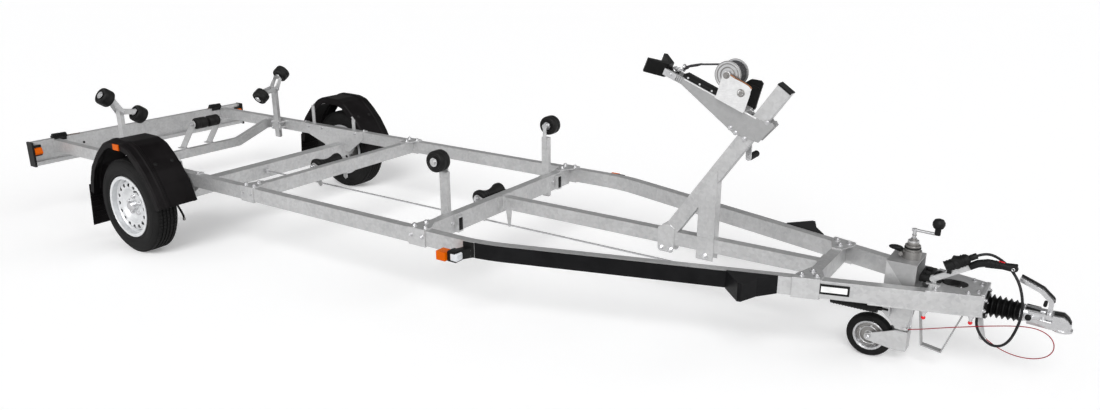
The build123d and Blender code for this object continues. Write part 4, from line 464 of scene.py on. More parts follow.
# ---------------------------------------------------------------- modelling
class Work:
    """One mesh on the bench, shaped with Blender's operators in the level trailer's axes."""

    def __init__(self, piece: bpy.types.Object) -> None:
        """Takes an object whose place is in its mesh."""
        self.piece = piece

    @classmethod
    def added(cls) -> "Work":
        """The object that an operator has just added, with its place put in its mesh."""
        bpy.ops.object.transform_apply(location=True, rotation=True, scale=True)
        return cls(bpy.context.object)

    @staticmethod
    def clear() -> None:
        """Leaves edit mode and deselects everything."""
        if bpy.context.object is not None and bpy.context.object.mode != "OBJECT":
            bpy.ops.object.mode_set(mode="OBJECT")
        bpy.ops.object.select_all(action="DESELECT")

    def take(self) -> None:
        """Makes the piece the only selected one, and active."""
        self.clear()
        bpy.context.view_layer.objects.active = self.piece
        self.piece.select_set(True)

    def edit(self, what: str = "VERT", action: str = "SELECT") -> None:
        """Opens the piece in edit mode.

        Args:
            what: the select mode, VERT or FACE.
            action: SELECT for all of it, DESELECT for none.
        """
        self.take()
        bpy.ops.object.mode_set(mode="EDIT")
        bpy.ops.mesh.select_mode(type=what)
        bpy.ops.mesh.select_all(action=action)

    def done(self) -> "Work":
        """Closes edit mode."""
        bpy.ops.object.mode_set(mode="OBJECT")
        return self

    def pick(self, test: FaceTest) -> None:
        """Opens the piece in edit mode with some of its faces selected.

        Args:
            test: called with each face's centre, in millimetres.
        """
        self.edit("FACE", "DESELECT")
        self.done()
        for face in self.piece.data.polygons:
            face.select = test(face.center * 1000)
        bpy.ops.object.mode_set(mode="EDIT")

    def pull(self, move: Point) -> "Work":
        """Extrudes the whole face.

        Args:
            move: how far along each axis, in millimetres.

        Returns:
            The piece.
        """
        self.edit("FACE")
        bpy.ops.mesh.extrude_region_move(TRANSFORM_OT_translate={"value": metres(*move)})
        return self.done().tidy()

    def spin(self, centre: Point, axis: Axis, steps: int) -> "Work":
        """Turns the wire loop about an axis into a closed solid.

        Args:
            centre: a point on the axis.
            axis: the axis's direction.
            steps: facets round it.

        Returns:
            The piece.
        """
        self.edit()
        bpy.ops.mesh.spin(steps=steps, angle=math.tau, center=metres(*centre), axis=axis.value)
        return self.done().tidy()

    def tidy(self) -> "Work":
        """Merges doubles and turns every face outwards.

        Returns:
            The piece.
        """
        self.edit()
        bpy.ops.mesh.remove_doubles(threshold=MERGE_WITHIN)
        bpy.ops.mesh.normals_make_consistent(inside=False)
        return self.done()

    def round(self, width: float, segments: int = 2) -> "Work":
        """Rounds the sharp edges.

        Args:
            width: how far the rounding reaches, in millimetres.
            segments: facets across it.

        Returns:
            The piece.
        """
        self.take()
        bpy.ops.object.modifier_add(type="BEVEL")
        bevel = self.piece.modifiers[-1]
        bevel.width = width / 1000
        bevel.segments = segments
        bevel.limit_method = "ANGLE"
        bevel.angle_limit = BEVEL_FROM
        bpy.ops.object.modifier_apply(modifier=bevel.name)
        return self

    def move(self, matrix: Matrix) -> "Work":
        """Moves the mesh itself.

        Args:
            matrix: the move, in metres.

        Returns:
            The piece.
        """
        self.piece.data.transform(matrix)
        if matrix.to_3x3().determinant() < 0:
            self.piece.data.flip_normals()
        return self

    def copy(self, matrix: Matrix) -> "Work":
        """Makes a copy with its own mesh.

        Args:
            matrix: the copy's move, in metres.

        Returns:
            The copy.
        """
        piece = self.piece.copy()
        piece.data = self.piece.data.copy()
        bpy.context.scene.collection.objects.link(piece)
        return Work(piece).move(matrix)

    def mirrored(self) -> "Work":
        """A copy on the other side of the trailer."""
        return self.copy(Matrix.Scale(-1.0, 4, (0.0, 1.0, 0.0)))

    def name(self, name: str) -> "Work":
        """Names the piece and its mesh.

        Args:
            name: the name.

        Returns:
            The piece.
        """
        self.piece.name = name
        self.piece.data.name = name
        return self

    def paint(self, finish: Finish) -> "Work":
        """Gives the whole piece one finish.

        Args:
            finish: the finish.

        Returns:
            The piece.
        """
        self.piece.data.materials.clear()
        self.piece.data.materials.append(finish.material())
        return self

    def fit(
        self, body: str = "chassis", smooth: float = SMOOTH,
        replaces: str | None = None, slot: str | None = None,
    ) -> None:
        """Stands the finished piece on the parked trailer.

        Args:
            body: the moving body that carries it.
            smooth: edges that turn by more than these degrees stay sharp.
            replaces: the solid that it stands for.
            slot: not used.
        """
        self.take()
        bpy.ops.object.shade_smooth_by_angle(angle=math.radians(smooth))
        self.piece.data.transform(PARKED)
        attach(self.piece, body)
        if replaces:
            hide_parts(replaces)
        LOG.info("%s: %d faces", self.piece.name, len(self.piece.data.polygons))


def metres(*numbers: float) -> list[float]:
    """Millimetres as metres."""
    return [number / 1000 for number in numbers]


def box(low: Point, high: Point) -> Work:
    """Adds a block.

    Args:
        low: one corner.
        high: the opposite corner.

    Returns:
        The block.
    """
    Work.clear()
    centre = [(a + b) / 2000 for a, b in zip(low, high)]
    size = [abs(b - a) / 1000 for a, b in zip(low, high)]
    bpy.ops.mesh.primitive_cube_add(size=1.0, location=centre, scale=size)
    return Work.added()


def rod(start: Point, end: Point, radius: float, sides: int = 24) -> Work:
    """Adds a round bar.

    Args:
        start: the middle of one end.
        end: the middle of the other.
        radius: its radius.
        sides: facets round it.

    Returns:
        The bar.
    """
    Work.clear()
    a, b = Vector(start) / 1000, Vector(end) / 1000
    turn = (b - a).to_track_quat("Z", "Y").to_euler()
    bpy.ops.mesh.primitive_cylinder_add(
        vertices=sides, radius=radius / 1000, depth=(b - a).length, location=(a + b) / 2, rotation=turn
    )
    return Work.added()


def ball(centre: Point, size: Point, rings: int = 14) -> Work:
    """Adds a ball or an egg.

    Args:
        centre: its middle.
        size: its half-size along each axis.
        rings: facets from pole to pole.

    Returns:
        The ball.
    """
    Work.clear()
    bpy.ops.mesh.primitive_uv_sphere_add(
        segments=2 * rings, ring_count=rings, radius=1.0, location=metres(*centre), scale=metres(*size)
    )
    return Work.added()


def ring(centre: Point, axis: Axis, major: float, minor: float, sides: int = 48) -> Work:
    """Adds a round bar bent into a ring.

    Args:
        centre: the ring's middle.
        axis: the direction of its axis.
        major: radius of the bar's middle line.
        minor: radius of the bar.
        sides: facets round the ring.

    Returns:
        The ring.
    """
    Work.clear()
    turn = Vector(axis.value).to_track_quat("Z", "Y").to_euler()
    bpy.ops.mesh.primitive_torus_add(
        major_segments=sides, minor_segments=12, major_radius=major / 1000, minor_radius=minor / 1000,
        location=metres(*centre), rotation=turn,
    )
    return Work.added()


def outline(corners: Sequence[Sequence[float]], fill: str) -> Work:
    """Adds a flat face or a wire loop.

    Args:
        corners: its corners, in order.
        fill: NGON for a face, NOTHING for a wire.

    Returns:
        The outline.
    """
    Work.clear()
    bpy.ops.mesh.primitive_circle_add(vertices=len(corners), radius=0.01, fill_type=fill)
    work = Work.added()
    for vertex, corner in zip(work.piece.data.vertices, corners):
        vertex.co = Vector(corner) / 1000
    return work


def plate(corners: Sequence[Pair], y0: float, y1: float) -> Work:
    """A flat plate of (x, z) corners between two values of Y."""
    return outline([(x, y0, z) for x, z in corners], "NGON").pull((0.0, y1 - y0, 0.0))


def turned(profile: Sequence[Pair], centre: Point, axis: Axis, steps: int = 48) -> Work:
    """A solid turned from a closed outline of (radius, along) pairs about an axis.

    Args:
        profile: the outline's corners, in order.
        centre: a point on the axis, from which along is measured.
        axis: the axis's direction.
        steps: facets round it.

    Returns:
        The turned work.
    """
    out = Vector((1, 0, 0) if axis is Axis.Z else (0, 0, 1))
    corners = [Vector(centre) + out * radius + Vector(axis.value) * along for radius, along in profile]
    return outline(corners, "NOTHING").spin(centre, axis, steps)


def symmetric(side: list[Pair]) -> list[Pair]:
    """A (radius, along) outline closed by its own mirror image."""
    return side + [(radius, -along) for radius, along in side[::-1]]


def both_sides(low: Point, high: Point) -> Iterator[tuple[Point, Point]]:
    """The corners of a block on the right side and then on the left one.

    Args:
        low: the left block's corner with the smallest numbers.
        high: its opposite corner.

    Yields:
        The two corners of each block.
    """
    yield (low[0], -high[1], low[2]), (high[0], -low[1], high[2])
    yield low, high


def joined(name: str, finish: Finish, works: Iterable[Work]) -> Work:
    """Joins several pieces into one.

    Args:
        name: the name it gets.
        finish: its finish.
        works: the pieces.

    Returns:
        The joined piece.
    """
    parts = list(works)
    Work.clear()
    for part in parts:
        part.piece.select_set(True)
    bpy.context.view_layer.objects.active = parts[0].piece
    if len(parts) > 1:
        bpy.ops.object.join()
    return parts[0].name(name).paint(finish)


# ---------------------------------------------------------------- studio
@dataclass
class Studio:
    """The pale floor, the soft lamps and the camera."""

    camera_place: Point = (4979.5, -3661.9, 1905.4)
    camera_yaw: float = 34.147
    camera_pitch: float = 17.880
    camera_roll: float = 0.186
    focal_pixels: float = 856.41
    image_width: float = 1100.0
    centre_drop: float = 3.06
    sun_strength: float = 1.9
    far_side: float = 0.30
    floor_glow: float = 0.21
    floor_size: float = 160.0

    def camera(self) -> None:
        """Adds the camera and makes it the scene's own."""
        data = bpy.data.cameras.new("camera")
        camera = bpy.data.objects.new("camera", data)
        bpy.context.scene.collection.objects.link(camera)
        yaw, pitch, roll = (math.radians(a) for a in (self.camera_yaw, self.camera_pitch, self.camera_roll))
        ahead = Vector((-math.sin(yaw) * math.cos(pitch), math.cos(yaw) * math.cos(pitch), -math.sin(pitch)))
        right = Vector((math.cos(yaw), math.sin(yaw), 0.0))
        right = right * math.cos(roll) + ahead.cross(right) * math.sin(roll)
        turn = PARKED.to_3x3() @ Matrix((right, right.cross(ahead), -ahead)).transposed()
        camera.matrix_world = Matrix.Translation(parked(self.camera_place)) @ turn.to_4x4()
        data.sensor_width = 36.0
        data.lens = self.focal_pixels / self.image_width * data.sensor_width
        data.shift_y = self.centre_drop / self.image_width
        data.clip_start = 0.05
        data.clip_end = 200.0
        bpy.context.scene.camera = camera

    def floor(self) -> None:
        """Adds the pale floor under the wheels, a little brighter to the camera than its light."""
        Work.clear()
        bpy.ops.mesh.primitive_grid_add(x_subdivisions=8, y_subdivisions=8, size=self.floor_size)
        floor = bpy.context.object
        floor.name = "floor"
        shade = Shader("floor_paper")
        inputs = {
            "Base Color": shade.ramp(shade.noise(30.0), [(0.3, (0.90,) * 3), (0.7, (0.92,) * 3)]),
            "Roughness": 0.95, "Specular IOR Level": 0.1,
        }
        shade.feed(shade.surface, inputs)
        seen = shade.add("LightPath").outputs["Is Camera Ray"]
        lift = shade.add("Math", {0: seen, 1: self.floor_glow}, operation="MULTIPLY")
        glow = shade.add("Emission", {"Strength": lift.outputs[0]})
        both = shade.add("AddShader", {0: shade.surface.outputs[0], 1: glow.outputs[0]})
        shade.feed(shade.output, {"Surface": both.outputs[0]})
        floor.data.materials.append(shade.material)

    def sky(self) -> None:
        """A white room for the camera and a softer one, darker overhead, for the light."""
        world = bpy.data.worlds.new("studio")
        bpy.context.scene.world = world
        world.use_nodes = True
        nodes = Nodes(world.node_tree)
        place = nodes.add("TexCoord").outputs["Generated"]
        height = nodes.add("SeparateXYZ", {0: place}).outputs["Z"]
        greys = [(0.0, 0.90), (0.22, 0.92), (0.60, 0.50), (1.0, 0.25)]
        tone = nodes.ramp(height, [(position, (grey, grey, grey * 1.01)) for position, grey in greys])
        across = nodes.add("VectorMath", {0: place, 1: (-0.56, 0.83, 0.0)}, operation="DOT_PRODUCT")
        span = {"From Min": -0.1, "From Max": 0.75, "To Min": 1.0, "To Max": self.far_side}
        dim = nodes.add("MapRange", span | {"Value": across.outputs["Value"]})
        soft = nodes.add("Background", {"Strength": dim.outputs["Result"], "Color": tone})
        white = nodes.add("Background", {"Color": (1.0, 1.0, 1.0, 1.0)})
        seen = nodes.add("LightPath").outputs["Is Camera Ray"]
        mix = nodes.add("MixShader", {0: seen, 1: soft.outputs[0], 2: white.outputs[0]})
        nodes.add("OutputWorld", {"Surface": mix.outputs[0]})

    def lamps(self) -> None:
        """Two broad soft suns: a key from beside the camera and a fill from the nose."""
        rows = [
            # name, strength, softness in degrees, direction that it shines in
            ("key", self.sun_strength, 34.0, (-0.34, 0.86, -0.72)),
            ("fill", self.sun_strength * 0.38, 60.0, (-0.85, -0.25, -0.60)),
        ]
        for name, strength, softness, way in rows:
            data = bpy.data.lights.new(name, "SUN")
            data.energy = strength
            data.angle = math.radians(softness)
            lamp = bpy.data.objects.new(name, data)
            lamp.rotation_euler = Vector(way).to_track_quat("-Z", "Y").to_euler()
            bpy.context.scene.collection.objects.link(lamp)

    def build(self) -> None:
        """Sets up the whole studio."""
        self.camera()
        self.floor()
        self.sky()
        self.lamps()
        bpy.context.scene.view_settings.view_transform = "Standard"


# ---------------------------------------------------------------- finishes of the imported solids
@dataclass
class Dressing:
    """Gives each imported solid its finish, and some of their faces another."""

    plain: tuple[tuple[Finish, str], ...] = (
        (Finish.TUBE, "side_beam_left side_beam_right rear_cross_member middle_cross_member"),
        (Finish.TUBE, "front_cross_member centre_beam torsion_axle dropped_crossbar roller_posts"),
        (Finish.TUBE, "winch_post light_beam"),
        (Finish.PLATE, "frame_clamps axle_brackets mudguard_stays keel_roller_brackets post_clamps"),
        (Finish.PLATE, "winch_post_brackets drawbar_head rocker_left rocker_right jockey_leg"),
        (Finish.PLATE, "handbrake_lever"),
        (Finish.SHEET, "winch_head foot_hoop"),
        (Finish.BRIGHT, "winch_frame"),
        (Finish.ZINC, "winch_drum winch_crank jockey_sleeve jockey_crank jockey_rim"),
        (Finish.ZINC, "coupling_head coupling_handle brake_rod"),
        (Finish.SILVER, "rim_left rim_right"),
        (Finish.TYRE, "tyre_left tyre_right jockey_tyre"),
        (Finish.ROLLER, "outer_roller_left outer_roller_right inner_roller_left inner_roller_right"),
        (Finish.ROLLER, "middle_roller_left middle_roller_right rear_keel_roller middle_keel_roller"),
        (Finish.ROLLER, "cradle_roller"),
        (Finish.BOOT, "bellows bow_stop"),
        (Finish.PLASTIC, "light_beam_caps tail_lamps front_marker_lamps power_plug"),
        (Finish.GUARD, "mudguards"),
        (Finish.STRIP, "side_strips"),
        (Finish.AMBER, "amber_lamps"),
        (Finish.STRAP, "winch_strap"),
        (Finish.BLACK_CABLE, "power_cable"),
        (Finish.RED_CABLE, "breakaway_cable"),
    )

    def apply(self) -> None:
        """Assigns every node its finish."""
        left = set(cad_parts)
        for finish, names in self.plain:
            for name in names.split():
                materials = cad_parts[name].data.materials
                materials.clear()
                materials.append(finish.material())
                left.remove(name)
        if left:
            raise ValueError(f"no finish for {sorted(left)}")

    def touch(self, name: str, finish: Finish, test: FaceTest) -> None:
        """Gives another finish to the faces of a node that a test picks by their level place.

        Args:
            name: the node.
            finish: their finish.
            test: called with each face's centre, in level millimetres.
        """
        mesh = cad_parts[name].data
        mesh.materials.append(finish.material())
        for face in mesh.polygons:
            if test((LEVEL @ face.center) * 1000):
                face.material_index = len(mesh.materials) - 1

    @staticmethod
    def lever_rubber(place: Vector) -> bool:
        """Whether a face belongs to the brake lever's grip or to the plug's holder."""
        return place.x > 4640 or (4490 < place.x < 4518 and place.z > 574 and abs(place.y + 60) > 5.5)

    @staticmethod
    def drum_face(place: Vector) -> bool:
        """Whether a face of a rim's node belongs to the brake drum inside it."""
        return abs(place.y) < 904 and math.hypot(place.x, place.z - WHEEL_CENTRE_Z) < 124

    @staticmethod
    def jockey_hub(place: Vector) -> bool:
        """Whether a face belongs to the jockey wheel's pressed hub."""
        return 20 < math.hypot(place.x - JOCKEY_WHEEL[0], place.z - JOCKEY_WHEEL[2]) < 52

    def details(self) -> None:
        """Second finishes on nodes made of two materials."""
        rows = [
            # node, finish, which faces
            ("winch_post", Finish.PLASTIC, lambda p: p.z > 1238 and p.x > 3705),
            ("jockey_crank", Finish.PLASTIC, lambda p: p.x > 4410 and p.z > 704),
            ("jockey_sleeve", Finish.DULL_STEEL, lambda p: p.z > 580),
            ("jockey_sleeve", Finish.PLASTIC, lambda p: p.x < 4310),
            # The brake drums inside the rims: dull steel as the drums are, kept dark also as painted shade
            # seen through the vents.
            ("rim_left", Finish.DULL_STEEL, self.drum_face),
            ("rim_right", Finish.DULL_STEEL, self.drum_face),
            ("brake_rod", Finish.PLASTIC, lambda p: p.x > 4070),
            ("handbrake_lever", Finish.PLASTIC, self.lever_rubber),
            ("winch_frame", Finish.PLASTIC, lambda p: p.y > 50 and p.x > 3500),
            ("winch_crank", Finish.PLASTIC, lambda p: p.y > 90),
            ("drawbar_head", Finish.SHEET, lambda p: p.z > 516 and p.x < 4400),
            ("jockey_rim", Finish.DULL_STEEL, self.jockey_hub),
            ("drawbar_head", Finish.PLASTIC, lambda p: p.z < 418.5 and 4615 < p.x < 4645 and p.y < -30),
        ]
        for name, finish, test in rows:
            self.touch(name, finish, test)


# ---------------------------------------------------------------- cables
@dataclass(frozen=True)
class Cable:
    """A loose cable on one smooth curve."""

    name: str
    node: str
    finish: Finish
    slot: str
    length: float
    diameter: float
    far_end: str
    plug: tuple[str, ...]
    route: tuple[Point, ...]

    def build(self) -> None:
        data = bpy.data.curves.new(self.name, "CURVE")
        data.dimensions = "3D"
        data.resolution_u = 12
        data.bevel_depth = self.diameter / 2
        data.bevel_resolution = 5
        data.use_fill_caps = True
        spline = data.splines.new("NURBS")
        spline.points.add(len(self.route) - 1)
        for point, place in zip(spline.points, self.route):
            point.co = (*parked(place), 1.0)
        spline.order_u = 3
        spline.use_endpoint_u = True
        cable = bpy.data.objects.new(self.name, data)
        bpy.context.scene.collection.objects.link(cable)
        data.materials.append(self.finish.material())
        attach(cable, "chassis")
        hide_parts(self.node)
        ends = {"with_pieces": [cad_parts[name] for name in self.plug]} if self.plug else {}
        parked(self.route[0])


CABLES = (
    Cable(
        "power_cable_sheath", "power_cable", Finish.BLACK_CABLE, "black_cable", 0.690, 0.011, "plug",
        ("power_plug",),
        (
            (4630, -40, 405), (4630, -40, 375), (4642, -43, 343), (4668, -48, 312), (4701, -53, 296),
            (4736, -59, 306), (4761, -65, 340), (4776, -70, 388), (4786, -74, 440), (4787, -74, 492),
            (4777, -64, 541), (4758, -48, 585), (4727, -34, 624), (4689, -30, 656), (4649, -38, 677),
            (4614, -52, 677), (4586, -60, 661),
        ),
    ),
    Cable(
        "breakaway_wire", "breakaway_cable", Finish.RED_CABLE, "red_cable", 0.882, 0.004, "object",
        (),
        (
            (4379, -52, 282), (4431, -54, 298), (4484, -55, 317), (4539, -56, 336), (4595, -57, 354),
            (4650, -58, 372), (4705, -58, 388), (4759, -57, 402), (4808, -55, 411), (4851, -52, 410),
            (4887, -49, 396), (4911, -46, 369), (4917, -42, 334), (4903, -38, 302), (4873, -33, 279),
            (4832, -27, 265), (4785, -21, 262), (4740, -15, 269), (4703, -8, 282), (4674, 0, 296),
        ),
    ),
)


Row = tuple[str, Finish, list[Work]]


class Trim:
    """Fittings that are joined, painted and stood on the chassis row by row."""

    def pieces(self) -> Iterator[Row]:
        """Name, finish and parts of every fitting."""
        raise NotImplementedError

    def build(self) -> None:
        """Every fitting."""
        for name, finish, works in self.pieces():
            joined(name, finish, works).fit()


# ---------------------------------------------------------------- fastenings
@dataclass
class Fasteners:
    """Hexagon heads on their washers, copied from one pattern to every place."""

    pattern_radius: float = 10.0
    pattern: Work = field(init=False)

    def __post_init__(self) -> None:
        """Makes the pattern: washer, hexagon and thread end, standing on the origin along Z."""
        size = self.pattern_radius
        self.pattern = joined("bolt_pattern", Finish.ZINC, [
            rod((0, 0, 0), (0, 0, 0.20 * size), 1.35 * size, 20),
            rod((0, 0, 0.20 * size), (0, 0, 0.95 * size), size, 6).round(0.7, 1),
            rod((0, 0, 0.9 * size), (0, 0, 1.25 * size), 0.5 * size, 12),
        ])

    def row(
        self, name: str, places: Sequence[Point], way: Point, radius: float, both_sides: bool = True,
        body: str = "chassis", finish: Finish = Finish.ZINC,
    ) -> None:
        """Sets bolts at several places, as one piece.

        Args:
            name: the piece's name.
            places: the points that their washers stand on.
            way: the direction that they stand out in.
            radius: half the width of a head over its corners.
            both_sides: whether the other side of the trailer has them too.
            body: the body that carries them.
            finish: their finish.
        """
        turn = Vector(way).to_track_quat("Z", "Y").to_matrix().to_4x4()
        size = Matrix.Scale(radius / self.pattern_radius, 4)
        copies = []
        for place in places:
            copies.append(self.pattern.copy(Matrix.Translation(Vector(place) / 1000) @ turn @ size))
            if both_sides:
                copies.append(copies[-1].mirrored())
        joined(name, finish, copies).fit(body, SMOOTH_BOLT)

    def frame_rows(self) -> None:
        """Bolts of the frame's clamps and posts, and the rockers' pins."""
        tops, sides = [], []
        for centre, member in ((863, 860), (2181, 2165)):
            tops += [(centre - 36, 690, BEAM_TOP), (centre + 36, 690, BEAM_TOP), (member, 626, BEAM_TOP)]
            sides += [(centre - 36, 720, 470), (centre + 36, 720, 470)]
        self.row("frame_clamp_bolts", tops, UP, 11.5)
        self.row("frame_clamp_side_bolts", sides, LEFT, 9.5)
        front = [(3965, 258, BEAM_TOP), (4025, 240, BEAM_TOP), (3995, 196, BEAM_TOP)]
        self.row("front_clamp_bolts", front, UP, 11.0)
        posts = [(REAR_POST_X + along, 608.5, z) for along in (-38, 38) for z in (445, 485)]
        self.row("rear_post_bolts", posts, RIGHT, 9.0)
        for side, sign in (("left", 1), ("right", -1)):
            for end, along, way in (("front", 39, AHEAD), ("rear", -39, BACK)):
                pin = (REAR_POST_X + along, sign * REAR_POST_Y, ROCKER_PIVOTS[side])
                self.row(f"rocker_pin_nut_{side}_{end}", [pin], way, 10.0, False, "rocker_" + side)
        self.row("middle_post_bolts", [(2078, y, 460) for y in (-443, -387, 494, 550)], BACK, 8.0, False)
        self.row("middle_post_nuts", [(2190, y, 460) for y in (-455, -375, 482, 562)], AHEAD, 9.0, False)

    def nose_rows(self) -> None:
        """Bolts of the winch stand, the drawbar's head and the jockey wheel's bracket."""
        head = [(3510, 29, 1051), (3536, 29, 1031), (3581, 29, 1009), (3682, 29, 1095)]
        self.row("winch_head_bolts", head, LEFT, 8.5)
        foot = [(3184, 29, 402), (3236, 29, 400), (3419, 29, 405)]
        self.row("winch_foot_bolts", foot, LEFT, 12.5, finish=Finish.POLISHED)
        tops = [(4470, 108, BEAM_TOP), (4588, 78, BEAM_TOP), (4622, 46, BEAM_TOP)]
        self.row("head_plate_bolts", tops, UP, 8.0)
        self.row("head_end_bolts", [(4651, 62, 488), (4651, 62, 442)], AHEAD, 8.0)
        self.row("jockey_bracket_bolts", [(4270, 42, 392), (4362, 42, 392)], LEFT, 9.0)

    def axle_rows(self) -> None:
        """Bolts of the axle, crossbar and coupling, and nuts of the keel rollers and jockey wheel."""
        self.row("axle_strap_bolts", [(-260, 690, BEAM_TOP), (370, 690, BEAM_TOP)], UP, 7.5)
        self.row("axle_hanger_bolts", [(x, 661, 485) for x in (-200, -60, 300)], RIGHT, 9.0)
        self.row("crossbar_bolts", [(x, 661, z) for x in (-676, -604) for z in (440, 490)], RIGHT, 8.5)
        for name, (x, y, z), half in KEEL_AXLES:
            self.row(name + "_nut_right", [(x, y - half, z)], RIGHT, 12.0, False)
            self.row(name + "_nut_left", [(x, y + half, z)], LEFT, 12.0, False)
        for name, y, way in (("bolts", -31, RIGHT), ("nuts", 31, LEFT)):
            self.row("coupling_" + name, [(4822, y, 448), (4858, y, 448)], way, 8.0, False)
        x, _, z = JOCKEY_WHEEL
        self.row("jockey_axle_nuts", [(x, 42, z)], LEFT, 9.0, body="jockey_leg")

    def build(self) -> None:
        """Sets every bolt and bins the pattern."""
        self.frame_rows()
        self.nose_rows()
        self.axle_rows()
        bpy.data.objects.remove(self.pattern.piece)


# ---------------------------------------------------------------- wheels
@dataclass
class RoadWheel:
    """The road wheels' tyres with their tread blocks, the fittings of their rims, and a black ring of painted
    shade behind each rim's vents.
    """

    centre: Point = (0.0, WHEEL_Y, WHEEL_CENTRE_Z)
    base: float = 291.0
    block: float = 6.6
    crown: float = 0.0004
    sipe: float = 0.0012
    ribs: tuple[Pair, ...] = ((-60, -38), (-32, -14), (-8, 8), (14, 32), (38, 60))
    wall: tuple[Pair, ...] = (
        (286, 66), (279, 73), (270, 78.5), (262, 81.0), (261, 82.4), (256, 83.0), (255, 82.2), (244, 83.8),
        (232, 83.6), (221, 81.2), (211, 78.2), (208, 79.2), (203, 78.6), (199, 75.4), (194.6, 73.6),
        (190, 72.4), (178.7, 66), (178.7, 48),
    )

    def on_rib(self, place: Vector) -> bool:
        """Tells the ribs of the left tyre's tread from the rest of it.

        Args:
            place: a face's centre.

        Returns:
            Whether the face lies on a rib.
        """
        along = place.y - WHEEL_Y
        high = math.hypot(place.x, place.z - WHEEL_CENTRE_Z) > self.base - 3
        return high and any(low < along < end for low, end in self.ribs)

    def tyre(self) -> Work:
        """Spins the left tyre's wall and tread, then parts its blocks by sipes.

        Returns:
            The tyre.
        """
        tread = [(self.base - self.crown * edge * edge, edge) for rib in self.ribs for edge in rib]
        profile = tread + list(self.wall) + [(radius, -along) for radius, along in self.wall[::-1]]
        tyre = turned(profile, self.centre, Axis.Y, 78)
        tyre.pick(self.on_rib)
        bpy.ops.mesh.inset(thickness=self.sipe, depth=0.0, use_individual=True)
        bpy.ops.mesh.extrude_region_shrink_fatten(TRANSFORM_OT_shrink_fatten={"value": self.block / 1000})
        return tyre.done().paint(Finish.TYRE)

    def fittings(self) -> list[Work]:
        """Models the left wheel's nuts on their seats, and its dust cap.

        Returns:
            The parts, for joining.
        """
        out = WHEEL_Y + 28.0
        works = []
        for turn in range(5):
            angle = math.radians(72 * turn)
            x, z = 56 * math.sin(angle), WHEEL_CENTRE_Z + 56 * math.cos(angle)
            works.append(rod((x, out + 3, z), (x, out + 19, z), 11.5, 6).round(1.2, 1))
            works.append(rod((x, out + 1, z), (x, out + 5, z), 14.5, 20))
        cap = [(0, 40), (29, 40), (30.5, 43), (30.5, 62), (28, 66), (20, 72), (8, 75), (0, 75.4)]
        return works + [turned(cap, self.centre, Axis.Y, 32)]

    def build(self) -> None:
        """Both wheels."""
        tyre = self.tyre()
        tyre.mirrored().name("road_tyre.001").fit("wheel_right", SMOOTH_TYRE, "tyre_right", "tyre_rubber")
        tyre.name("road_tyre").fit("wheel_left", SMOOTH_TYRE, "tyre_left", "tyre_rubber")
        at = WHEEL_Y + 44
        valve = [((96, at, 404), (102, at + 30, 411), 4.5), ((102, at + 30, 411), (104, at + 40, 413.5), 5.2)]
        edges = [(77, 190.5, 2.2), (72, 176.0, 2.4), (-77, 190.5, 2.2)]
        # A black ring just inboard of each rim's disc: painted shade of the rim's barrel, seen through the
        # vents.
        vent_shade = [(121.5, 2), (156, 2), (156, 5), (121.5, 5)]
        rows = [
            ("wheel_nuts", Finish.ZINC, self.fittings()),
            ("wheel_valve", Finish.PLASTIC, [rod(*stretch, 12) for stretch in valve]),
            ("rim_edges", Finish.SILVER, [
                ring((0, WHEEL_Y + along, WHEEL_CENTRE_Z), Axis.Y, radius, half, 72)
                for along, radius, half in edges
            ]),
            ("vent_shade_ring", Finish.BOOT, [turned(vent_shade, self.centre, Axis.Y, 48)]),
        ]
        for name, finish, works in rows:
            left = joined(name, finish, works)
            for work, side in zip((left, left.mirrored()), ("left", "right")):
                work.name(f"{name}_{side}").fit("wheel_" + side, SMOOTH_WHEEL)


# ---------------------------------------------------------------- boat rollers
@dataclass
class BoatRollers:
    """Rounded rubber rollers on steel hubs: four on the rockers, two on the middle posts."""

    half: float = 37.0
    bore: float = 9.4
    tilt: float = 34.8
    spread: float = 128.0
    rise: float = 42.0

    def roller(self) -> Work:
        """Turns a roller with rounded shoulders at the origin, along Y.

        Returns:
            The roller.
        """
        half = self.half
        side = [
            (self.bore, half), (20, half), (21, half - 6), (23, half - 7.5), (37, half - 6.5), (40, half - 3),
            (44, half - 0.8), (49, half - 1.4), (53, half - 4.5), (55.5, half - 10), (56.6, half - 17),
            (57, 3.2), (56.2, 1.6),
        ]
        return turned(symmetric(side), (0, 0, 0), Axis.Y, 56).paint(Finish.ROLLER)

    def hub(self) -> Work:
        """Turns a steel washer for both ends of a roller at the origin.

        Returns:
            The two washers.
        """
        works = []
        for side in SIDES:
            near, far = side * (self.half + 0.2), side * (self.half + 2.2)
            profile = [(self.bore, near), (24, near), (23, far), (self.bore, far)]
            works.append(turned(profile, (0, 0, 0), Axis.Y, 28))
        return joined("hub_washers", Finish.ZINC, works)

    def places(self) -> Iterator[tuple[str, Matrix]]:
        """Works out where the rollers stand.

        Yields:
            Each roller's body and its placement, in metres.
        """
        angle = math.radians(self.tilt)
        for side, sign in (("left", 1), ("right", -1)):
            for kind, along in (("outer", 1), ("inner", -1)):
                out = along * self.spread * math.cos(angle) - self.rise * math.sin(angle)
                up = along * self.spread * math.sin(angle) + self.rise * math.cos(angle)
                place = Vector((REAR_POST_X, sign * (REAR_POST_Y + out), ROCKER_PIVOTS[side] + up)) / 1000
                turn = Matrix.Rotation(sign * angle, 4, "X")
                yield f"{kind}_roller_{side}", Matrix.Translation(place) @ turn
        for side, y in (("left", 566.0), ("right", -459.0)):
            yield "middle_roller_" + side, Matrix.Translation(Vector((2115.0, y, 788.0)) / 1000)

    def build(self) -> None:
        """All six rollers."""
        roller, hub = self.roller(), self.hub()
        for name, place in self.places():
            roller.copy(place).name(name + "_rubber").fit(name, SMOOTH_RUBBER, name, "roller_rubber")
            hub.copy(place).name(name + "_washers").fit(name, SMOOTH_WHEEL)
        for work in (roller, hub):
            bpy.data.objects.remove(work.piece)


